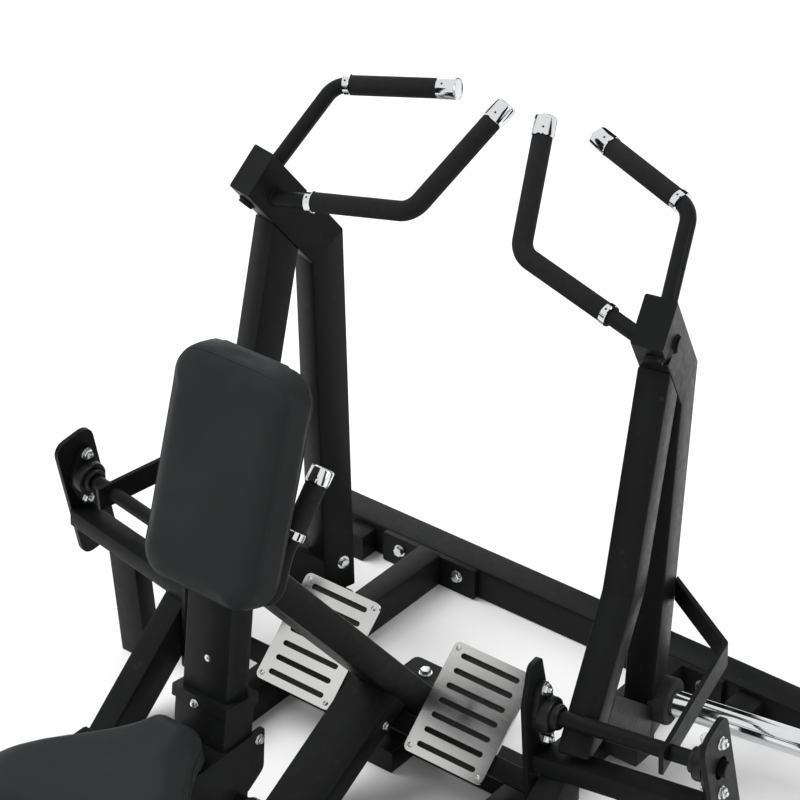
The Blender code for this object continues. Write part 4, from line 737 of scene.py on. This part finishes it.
def weld_ring(shape, place, way):
    """A weld bead round a tube: a thin ring whose thickness swells in small ripples."""
    turn = facing(place, way)
    steps = WELD_RIPPLES * 4
    places = []
    for step in range(steps + 1):
        angle = math.tau * step / steps
        swell = WELD_RADIUS * (1 + WELD_SWELL * math.cos(angle * WELD_RIPPLES))
        spot = Vector((TUBE_RADIUS * math.cos(angle), TUBE_RADIUS * math.sin(angle), 0))
        places.append((turn @ spot, swell))
    sweep(shape, places, 3)


HEAD_OUT = (0.969, 0.245, -0.034)
STUBS = (((0.4575, 0.3094, 0.9883), (0.2298, -0.6825, -0.6939)),
         ((0.4662, 0.3587, 0.9981), HEAD_OUT))
WELDS = (((0.4455, 0.3450, 1.0245), (-0.2298, 0.6825, 0.6939)),
         ((0.4100, 0.3362, 1.0001), HEAD_OUT))

for side_name, side in SIDES.items():
    stubs = bmesh.new()
    for place, way in STUBS:
        start = at(*place, side)
        out = aim(*way, side)
        lathe(stubs, [(0, -STUB_ROOT), (TUBE_RADIUS, -STUB_ROOT),
                      (TUBE_RADIUS, STUB_REACH - STUB_CHAMFER),
                      (TUBE_RADIUS - STUB_CHAMFER, STUB_REACH), (0, STUB_REACH)],
              facing(start, out), 32)
        weld_ring(stubs, start, out)
    for place, way in WELDS:
        weld_ring(stubs, at(*place, side), aim(*way, side))
    piece(side_name + "_handle_ends", stubs, side_name + "_arm", paint)

# %% [markdown]
# ## Plate horns
# A weight plate slides on a chromed bar of 50 mm. The bar has a rounded end, and a thick
# rubber washer keeps the plate off the arm. Both are turned shapes, so they are spun.

# %% Horns and washers
HORN_FOOT = (0.4117, 0.4583, 0.1541)
HORN_WAY = (0.9901, 0.1386, 0.0198)
HORN_RADIUS = 0.025
HORN_LENGTH = 0.430
WASHER_RADIUS = 0.046
WASHER_LENGTH = 0.030
HORN_ROOT = 0.006
HORN_END = ((0.0, 0.006), (0.0012, 0.0028), (0.004, 0.0002), (0.006, 0.0))
CENTRE_HOLE = ((0.006, 0.0), (0.0045, 0.004), (0.0, 0.004))
WASHER_END = ((0.0, 0.005), (0.0015, 0.0015), (0.005, 0.0))
WASHER_BORE = ((0.003, 0.0), (0.0006, 0.0012), (0.0, 0.004))

for side_name, side in SIDES.items():
    foot = facing(at(*HORN_FOOT, side), aim(*HORN_WAY, side))
    bar = bmesh.new()
    profile = [(0, -HORN_ROOT), (HORN_RADIUS, -HORN_ROOT)]
    profile += [(HORN_RADIUS - inset, HORN_LENGTH - back) for inset, back in HORN_END]
    profile += [(radius, HORN_LENGTH - depth) for radius, depth in CENTRE_HOLE]
    lathe(bar, profile, foot, 72)
    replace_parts(piece(side_name + "_horn_bar", bar, side_name + "_arm", chrome),
                side_name + "_weight_horn")
    washer = bmesh.new()
    bore = HORN_RADIUS + STEEL_GAP
    profile = [(bore, -HORN_ROOT), (WASHER_RADIUS, -HORN_ROOT)]
    profile += [(WASHER_RADIUS - inset, WASHER_LENGTH - back) for inset, back in WASHER_END]
    profile += [(bore + outset, WASHER_LENGTH - back) for outset, back in WASHER_BORE]
    lathe(washer, profile + [(bore, -HORN_ROOT)], foot, 64)
    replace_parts(piece(side_name + "_horn_washer", washer, side_name + "_arm",
                      rubber), side_name + "_horn_collar")

# %% [markdown]
# ## Bolts
# A bolt is a washer, a six-sided head with its corners chamfered, and on the nut side the
# thread's end. One function adds a bolt to a bmesh, so all the bolts of a joint are one
# piece. Sizes are those of M6 to M12 bolts, and the head, its chamfer and the thread are
# shares of the width across the flats.

# %% A bolt
DISC_THICK = 0.0016
DISC_EDGE = (0.0003, 0.0004)
HEAD_SHARE = 0.42
CHAMFER_SHARE = 0.07
THREAD_SHARE = 0.26
THREAD_REACH = 0.0045
THREAD_CHAMFER = 0.001
NEXT_TURN = 0.7
SAME_LEVEL = 0.0001


def bolt(shape, place, way, turn_by, across, washer, nut=False):
    """Add a washer and a hexagon head, or a nut with its thread end, at a place."""
    turn = facing(place, way) @ Matrix.Rotation(turn_by, 4, "Z")
    thick = DISC_THICK
    inset, rise = DISC_EDGE
    lathe(shape, [(0, 0), (washer - inset, 0), (washer, rise), (washer, thick - rise),
                  (washer - inset, thick), (0, thick)], turn, 28)
    height = across * HEAD_SHARE
    radius = across / math.sqrt(3)
    middle = turn @ Matrix.Translation((0, 0, thick + height / 2))
    head = bmesh.ops.create_cone(shape, cap_ends=True, segments=6, radius1=radius,
                                 radius2=radius, depth=height, matrix=middle)
    away = (turn.to_3x3() @ UP).normalized()
    level = (turn @ Vector((0, 0, thick + height))).dot(away)
    rim = [edge for edge in edges_of(head["verts"])
           if all(abs(vertex.co.dot(away) - level) < SAME_LEVEL for vertex in edge.verts)]
    soften(shape, rim, across * CHAMFER_SHARE, 2)
    if nut:
        thread = across * THREAD_SHARE
        root = thick + height - THREAD_CHAMFER
        tip = thick + height + THREAD_REACH
        lathe(shape, [(0, root), (thread, root), (thread, tip - THREAD_CHAMFER),
                      (thread - THREAD_CHAMFER, tip), (0, tip)], turn, 20)


def bolts(name, body, spots, **sizes):
    """One zinc piece with a bolt at each (place, way) spot."""
    shape = bmesh.new()
    for index, (place, way) in enumerate(spots):
        bolt(shape, place, way, NEXT_TURN * index, **sizes)
    piece(name, shape, body, zinc, 25)


print("bolt tools are ready")

# %% Pivot axes
PIVOT = (0.5, 0.09, 0.354)
AXIS_SLOPE = (1.0, 0.12, 0.06)
AXIS_UP = (-0.0590, -0.0071, 0.9982)
EAR_REACH = 0.0525
INNER_FACE = 0.400
OUTER_FACE = 0.745
PLATE = 0.010
FLANGE = 0.0143


def on_axis(distance_out, height, side):
    """A place at a height above a pivot axis, at a distance from the middle plane."""
    run = distance_out - PIVOT[0]
    place = [PIVOT[index] + AXIS_SLOPE[index] * run for index in range(3)]
    return at(*place, side) + Vector((side * AXIS_UP[0], AXIS_UP[1], AXIS_UP[2])) * height


print("axis passes", on_axis(INNER_FACE, 0, 1), on_axis(OUTER_FACE, 0, 1))

# %% [markdown]
# The flange bearings show a round housing, the lock collar of the insert and a grease
# nipple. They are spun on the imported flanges, and two bolts hold each flange.

# %% Bearing housings, their bolts and the frame bolts
RAIL_MIDDLE = 0.3015
FLANGE_Y = 0.6647
FLANGE_BOLT_REACH = 0.075
FLANGE_BOLT_HEIGHT = 0.042
LOW_BOLT_DROP = -0.160
HORN_BOLT = (0.3516, 0.448, 0.1424)
SEATED = 0.9
NIPPLE_HEIGHT = 0.008
NIPPLE_TURN = 0.8
NIPPLE_OUT = 0.034
HOUSING = ((0.0155, 0.0), (0.0345, 0.0), (0.0345, 0.0150), (0.0335, 0.0185), (0.0305, 0.0205),
           (0.0285, 0.0205), (0.0280, 0.0190), (0.0245, 0.0190), (0.0240, 0.0215),
           (0.0240, 0.0300), (0.0228, 0.0312), (0.0175, 0.0312), (0.0155, 0.0300), (0.0155, 0.0))
NIPPLE = ((0, 0), (0.0034, 0), (0.0034, 0.003), (0.0020, 0.0045), (0.0026, 0.0062),
          (0.0018, 0.0078), (0, 0.0082))

for side_name, side in SIDES.items():
    outwards = aim(*AXIS_SLOPE, side)
    housings = bmesh.new()
    for face_x, way in ((INNER_FACE, outwards), (OUTER_FACE, -outwards)):
        seat_x = face_x + (FLANGE if way is outwards else -FLANGE) * SEATED
        turn = facing(on_axis(seat_x, 0, side), way)
        lathe(housings, HOUSING, turn, 56)
        turn = turn @ Matrix.Translation((0, 0, NIPPLE_HEIGHT))
        turn = turn @ Matrix.Rotation(NIPPLE_TURN, 4, "Z")
        turn = turn @ Matrix.Rotation(math.radians(90), 4, "Y")
        lathe(housings, NIPPLE, turn @ Matrix.Translation((0, 0, NIPPLE_OUT)), 16)
    piece(side_name + "_bearing_housings", housings, "frame", iron)
    heads = []
    nuts = []
    for height in (EAR_REACH, -EAR_REACH):
        heads.append((on_axis(INNER_FACE + FLANGE, height, side), outwards))
        heads.append((on_axis(OUTER_FACE - FLANGE, height, side), -outwards))
        nuts.append((on_axis(INNER_FACE - PLATE, height, side), -outwards))
        nuts.append((on_axis(OUTER_FACE + PLATE, height, side), outwards))
    bolts(side_name + "_bearing_bolts", "frame", heads, across=0.019, washer=0.0130, nut=True)
    bolts(side_name + "_bearing_nuts", "frame", nuts, across=0.018, washer=0.0125, nut=True)
    low = on_axis(INNER_FACE, LOW_BOLT_DROP, side)
    spots = [(low, outwards)]
    for reach in (-FLANGE_BOLT_REACH, FLANGE_BOLT_REACH):
        spots.append((at(RAIL_MIDDLE + reach, FLANGE_Y, FLANGE_BOLT_HEIGHT, side),
                      Vector((0, -1, 0))))
    bolts(side_name + "_frame_bolts", "frame", spots, across=0.019, washer=0.0135)
    inwards = -aim(*HEAD_OUT, side)
    bolts(side_name + "_horn_bolt", side_name + "_arm", [(at(*HORN_BOLT, side), inwards)],
          across=0.018, washer=0.014)

# %% [markdown]
# The post's screw is flush, because the seat's carriage slides over it.

# %% Bolts of the strut's foot, the post and the seat
POST_REAR = aim(0, -1, 0.128)
STRUT_BOLT = (0.043, 0.323, 0.0813)
POST_SCREW = (0.003, -0.3488, 0.531)
CARRIAGE_BOLT = (-0.008, -0.3745, 0.444)
BRACKET_BOLT = (0.0651, -0.293, 0.351)
RAMP_BOLT = (0.0551, 0.0731, 0.151)
FLUSH_SCREW = ((0, 0), (0.0068, 0), (0.0068, 0.0002), (0.0060, 0.0005), (0.0020, 0.0006),
               (0.0018, 0.0002), (0, 0.0002))

spots = [(at(*STRUT_BOLT, side), UP) for side in (-1, 1)]
bolts("strut_foot_bolts", "frame", spots, across=0.019, washer=0.0135)
flush = bmesh.new()
lathe(flush, FLUSH_SCREW, facing(at(*POST_SCREW), POST_REAR), 32)
piece("post_screw", flush, "frame", zinc, 25)
bolts("carriage_bolt", "seat", [(at(*CARRIAGE_BOLT), POST_REAR)], across=0.011, washer=0.0085)
spots = [(at(*BRACKET_BOLT, side), aim(1, 0, 0, side)) for side in (-1, 1)]
bolts("bracket_bolts", "seat", spots, across=0.013, washer=0.010)
bolts("ramp_bolt", "frame", [(at(*RAMP_BOLT), Vector((1, 0, 0)))], across=0.011, washer=0.0085)

# %% [markdown]
# ## Tube plugs
# Open tube ends are closed with black moulded plugs. Each is a plate with rounded corners
# and a softened face edge that rests on the tube's end.

# %% Plugs on the floor beams
PLUG_SIZE = (0.068, 0.071, 0.003)
PLUG_CORNER = 0.006
PLUG_EDGE = 0.001


def plug(shape, middle, way, across, width, height, thick):
    """A rounded plate across a tube's end."""
    out = way.normalized()
    side_way = (across - out * across.dot(out)).normalized()
    turn = Matrix((side_way, out.cross(side_way), out)).transposed().to_4x4()
    box = bmesh.ops.create_cube(shape, size=1.0)
    scale = Matrix.Diagonal((width, height, thick, 1))
    bmesh.ops.transform(shape, matrix=scale, verts=box["verts"])
    upright = [edge for edge in edges_of(box["verts"])
               if abs(edge.verts[0].co.z - edge.verts[1].co.z) > thick / 2]
    verts = soften(shape, upright, PLUG_CORNER, 4)
    verts += [vertex for vertex in box["verts"] if vertex.is_valid and vertex not in verts]
    top = [edge for edge in edges_of(verts)
           if all(vertex.co.z > thick / 3 for vertex in edge.verts)
           and len(edge.link_faces) == 2
           and any(abs(face.normal.z) < 0.5 for face in edge.link_faces)]
    verts += [vertex for vertex in soften(shape, top, PLUG_EDGE, 2) if vertex not in verts]
    verts = [vertex for vertex in verts if vertex.is_valid]
    place = Matrix.Translation(middle + out * thick / 2) @ turn
    bmesh.ops.transform(shape, matrix=place, verts=verts)


print("plugs are ready")

# %% Plugs in place
BEAM_ENDS = ((0.620, 0.712, 0.0365), (0.455, -0.235, 0.0365), (0.300, -0.845, 0.0365))

plugs = bmesh.new()
for side in SIDES.values():
    for place in BEAM_ENDS:
        plug(plugs, at(*place, side), Vector((side, 0, 0)), Vector((0, 1, 0)), *PLUG_SIZE)
piece("beam_plugs", plugs, "frame", plastic)

# %% [markdown]
# ## Foot-plate screws
# The slotted plates are held by one pan-head screw near each corner. A pan head is a low
# dome with a socket, so its profile is spun with the socket already in it. Behind the slots
# lies a thin black sheet of painted shade, standing in for the dark space behind the plate,
# so every slot looks dark, as in the photograph.

# %% Pan-head screws and black sheets of painted shade behind the slots
PLATE_LOW = (0.080, 0.112)
PLATE_WAY = Vector((0, 0.7311, 0.6823))
PLATE_OUT = Vector((0, -0.6823, 0.7311))
PLATE_WIDTH = 0.182
PLATE_LENGTH = 0.226
PLATE_INNER_X = 0.090
SCREW_INSET = 0.012
PAN_HEAD = ((0, 0), (0.0052, 0), (0.0050, 0.0012), (0.0038, 0.0024), (0.0022, 0.0029),
            (0.0018, 0.0029), (0.0018, 0.0012), (0, 0.0012))
FOOT_PLATE_THICK = 0.006
SHADE_SHEET_INSET = 0.004
SHADE_SHEET_THICK = 0.002

for side_name, side in SIDES.items():
    screws = bmesh.new()
    low = at(side * (PLATE_INNER_X + PLATE_WIDTH / 2), *PLATE_LOW)
    for across in (-1, 1):
        for level in (SCREW_INSET, PLATE_LENGTH - SCREW_INSET):
            spot = low + PLATE_WAY * level + PLATE_OUT * STEEL_GAP / 2
            spot.x += across * (PLATE_WIDTH / 2 - SCREW_INSET)
            lathe(screws, PAN_HEAD, facing(spot, PLATE_OUT), 20)
    piece(side_name + "_foot_plate_screws", screws, "frame", zinc)
    # Painted shade: a black sheet behind the slots stands in for the dark space there.
    sheet = bmesh.new()
    depth = FOOT_PLATE_THICK + STEEL_GAP + SHADE_SHEET_THICK
    middle = low + PLATE_WAY * PLATE_LENGTH / 2 - PLATE_OUT * depth
    plug(sheet, middle, PLATE_OUT, Vector((1, 0, 0)), PLATE_WIDTH - 2 * SHADE_SHEET_INSET,
         PLATE_LENGTH - 2 * SHADE_SHEET_INSET, SHADE_SHEET_THICK)
    piece(side_name + "_foot_plate_shade_sheet", sheet, "frame", plastic)

# %% [markdown]
# ## Cushions
# A pad is foam under vinyl on a board. It starts as an extruded outline with a rounded rim.
# A cloth simulation then blows it up a little from inside while its back is held flat, and
# no point may move more than a few millimetres, so it stays firm. The seam comes last.

# %% Cushion outlines
CORNER_STEPS = 8
FLARE_STEPS = 12
SADDLE_HALF_LENGTH = 0.195
SADDLE_NOSE = 0.060
SADDLE_REAR = 0.205
SADDLE_CORNER = 0.110
TIP_ROUND = 0.018
TIP_CUT = 0.005


def corner_arc(centre, radius, start):
    """Points of a quarter circle from a start angle in degrees."""
    points = []
    for step in range(CORNER_STEPS + 1):
        angle = math.radians(start + 90 * step / CORNER_STEPS)
        points.append((centre[0] + radius * math.cos(angle),
                       centre[1] + radius * math.sin(angle)))
    return points


def rounded_rectangle(half_x, half_y, corner, shrink):
    """A rectangle with round corners about the origin, made smaller all round."""
    radius = corner - shrink
    inner_x = half_x - shrink - radius
    inner_y = half_y - shrink - radius
    corners = ((1, -1, -90), (1, 1, 0), (-1, 1, 90), (-1, -1, 180))
    return [spot for x_side, y_side, start in corners
            for spot in corner_arc((x_side * inner_x, y_side * inner_y), radius, start)]


def saddle_outline(shrink):
    """A narrow nose that flares smoothly to a wide rounded rear, nose towards +Y."""
    half_y = SADDLE_HALF_LENGTH - shrink
    nose = SADDLE_NOSE - shrink
    rear = SADDLE_REAR - shrink
    corner = SADDLE_CORNER - shrink
    right = corner_arc((rear - corner, -half_y + corner), corner, -90)
    for step in range(1, FLARE_STEPS + 1):
        share = 1 - step / FLARE_STEPS
        half = nose + (rear - nose) * share ** 2 * (3 - 2 * share)
        right.append((half, half_y - share * (2 * half_y - corner)))
    tip = right.pop()
    right += [(tip[0], tip[1] - TIP_ROUND), (tip[0] - TIP_CUT, tip[1] - TIP_CUT),
              (tip[0] - TIP_ROUND, tip[1])]
    return right + [(-x_value, y_value) for x_value, y_value in right[::-1]]


print("saddle outline:", len(saddle_outline(0)), "points")


# %% Cushion body
def cushion_body(name, outline, thickness, rim, voxel):
    """An extruded outline with a rounded rim, remeshed into even small faces."""
    shape = bmesh.new()
    ring = [shape.verts.new((x_value, y_value, 0)) for x_value, y_value in outline]
    base = shape.faces.new(ring)
    raised = bmesh.ops.extrude_face_region(shape, geom=[base])
    top = [item for item in raised["geom"] if isinstance(item, bmesh.types.BMVert)]
    bmesh.ops.translate(shape, vec=(0, 0, thickness), verts=top)
    bmesh.ops.recalc_face_normals(shape, faces=shape.faces)
    rim_edges = [edge for edge in shape.edges
                 if all(vertex.co.z > thickness / 2 for vertex in edge.verts)]
    soften(shape, rim_edges, rim, 5)
    bmesh.ops.triangulate(shape, faces=[face for face in shape.faces if len(face.verts) > 4])
    mesh = bpy.data.meshes.new(name)
    shape.to_mesh(mesh)
    shape.free()
    item = into_scene(name, mesh)
    remesh = item.modifiers.new("even", "REMESH")
    remesh.mode = "VOXEL"
    remesh.voxel_size = voxel
    even = baked(item)
    item.modifiers.clear()
    item.data = even
    bpy.data.meshes.remove(mesh)
    print(name, "even faces:", len(even.polygons))
    return item


# %% Blowing up a cushion
SWELL = 0.004
MOST_MOVE = SWELL + 0.0015
PRESSURE = 4.0
HELD_BELOW = 0.003
SWELL_FRAMES = 20


def blow_up(item):
    """Swell a cushion by cloth simulation, with its back held and every move limited."""
    rest = [vertex.co.copy() for vertex in item.data.vertices]
    held = item.vertex_groups.new(name="held")
    held.add([index for index, place in enumerate(rest) if place.z < HELD_BELOW], 1.0, "REPLACE")
    cloth = item.modifiers.new("swell", "CLOTH")
    cloth.settings.use_pressure = True
    cloth.settings.uniform_pressure_force = PRESSURE
    cloth.settings.vertex_group_mass = "held"
    cloth.settings.effector_weights.gravity = 0.0
    cloth.collision_settings.use_collision = False
    for number in range(1, SWELL_FRAMES + 1):
        bpy.context.scene.frame_set(number)
    evaluated = item.evaluated_get(bpy.context.evaluated_depsgraph_get())
    swollen = [vertex.co.copy() for vertex in evaluated.data.vertices]
    item.modifiers.remove(cloth)
    bpy.context.scene.frame_set(1)
    furthest = 0.0
    for vertex, before, after in zip(item.data.vertices, rest, swollen):
        move = after - before
        if move.length > MOST_MOVE:
            move = move * (MOST_MOVE / move.length)
        furthest = max(furthest, move.length)
        vertex.co = before + move
    item.vertex_groups.clear()
    print(item.name, "swelled by up to", round(furthest * 1000, 1), "mm")


# %% Smoothing a cushion and placing it
SMOOTH_ABOVE = 0.004
SEAM_RADIUS = 0.0014
SEAM_STEP = 0.006
SEAM_ROUNDS = 4
RAY_START = 0.1


def settle(item, matrix, body, smoothing):
    """Smooth a cushion, put its place into the mesh, give it vinyl and attach it to its body."""
    shape = bmesh.new()
    shape.from_mesh(item.data)
    for _ in range(smoothing):
        upper = [vertex for vertex in shape.verts if vertex.co.z > SMOOTH_ABOVE]
        bmesh.ops.smooth_vert(shape, verts=upper, factor=0.5, use_axis_x=True, use_axis_y=True,
                              use_axis_z=True)
    bmesh.ops.recalc_face_normals(shape, faces=shape.faces)
    tree = BVHTree.FromBMesh(shape)
    bmesh.ops.transform(shape, matrix=matrix, verts=shape.verts)
    shape.to_mesh(item.data)
    shape.free()
    item.data.materials.append(vinyl)
    item.data.shade_smooth()
    finer = item.modifiers.new("finer", "SUBSURF")
    finer.levels = 1
    finer.render_levels = 1
    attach(item, body)
    return tree


def seam(name, tree, outline, height, matrix, body, from_above):
    """A fine welt that lies on a cushion along an outline at a height."""
    places = []
    loop = outline + [outline[0]]
    for before, after in zip(loop, loop[1:]):
        steps = max(1, round(math.dist(before, after) / SEAM_STEP))
        for step in range(steps):
            share = step / steps
            spot = Vector((before[0] + (after[0] - before[0]) * share,
                           before[1] + (after[1] - before[1]) * share, height))
            if from_above:
                places.append(tree.ray_cast(spot + UP * RAY_START, -UP)[0])
            else:
                places.append(tree.find_nearest(spot)[0])
    for _ in range(SEAM_ROUNDS):
        places = [(before + 2 * here + after) / 4 for before, here, after
                  in zip(places[-1:] + places[:-1], places, places[1:] + places[:1])]
    places = [(matrix @ place, SEAM_RADIUS) for place in places + places[:1]]
    shape = bmesh.new()
    sweep(shape, places, 3)
    piece(name, shape, body, vinyl)


print("cushion tools are ready")

# %% Chest pad
PAD_MIDDLE = (0.0, -0.3228, 0.882)
PAD_NORMAL = Vector((0, 0.9542, -0.2991))
PAD_UP = Vector((0, 0.2991, 0.9542))
PAD_THICK = 0.068
PAD_HALF = (0.135, 0.220)
PAD_CORNER = 0.065
SEAM_INSET = 0.014

pad_place = Matrix((Vector((1, 0, 0)), PAD_UP, -PAD_NORMAL)).transposed().to_4x4()
pad_place = Matrix.Translation(at(*PAD_MIDDLE) + PAD_NORMAL * PAD_THICK) @ pad_place
pad_outline = rounded_rectangle(*PAD_HALF, PAD_CORNER, SWELL)
chest = cushion_body("chest_cushion", pad_outline, PAD_THICK - SWELL, rim=0.020, voxel=0.004)
blow_up(chest)
chest_tree = settle(chest, pad_place, "frame", smoothing=18)
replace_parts(chest, "chest_pad")
face_line = rounded_rectangle(*PAD_HALF, PAD_CORNER, SEAM_INSET)
seam("chest_seam", chest_tree, face_line, PAD_THICK, pad_place, "frame", True)

# %% Saddle
SEAT_MIDDLE = (0.0, -0.600, 0.370)
SEAT_THICK = 0.080
SEAT_SEAM_INSET = 0.001
SEAT_SEAM_HEIGHT = 0.030

seat_place = Matrix.Translation(at(*SEAT_MIDDLE))
saddle = cushion_body("saddle_cushion", saddle_outline(SWELL), SEAT_THICK - SWELL, rim=0.026,
                      voxel=0.006)
blow_up(saddle)
saddle_tree = settle(saddle, seat_place, "seat", smoothing=9)
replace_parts(saddle, "seat_pad")
seam("saddle_seam", saddle_tree, saddle_outline(SEAT_SEAM_INSET), SEAT_SEAM_HEIGHT, seat_place,
     "seat", False)
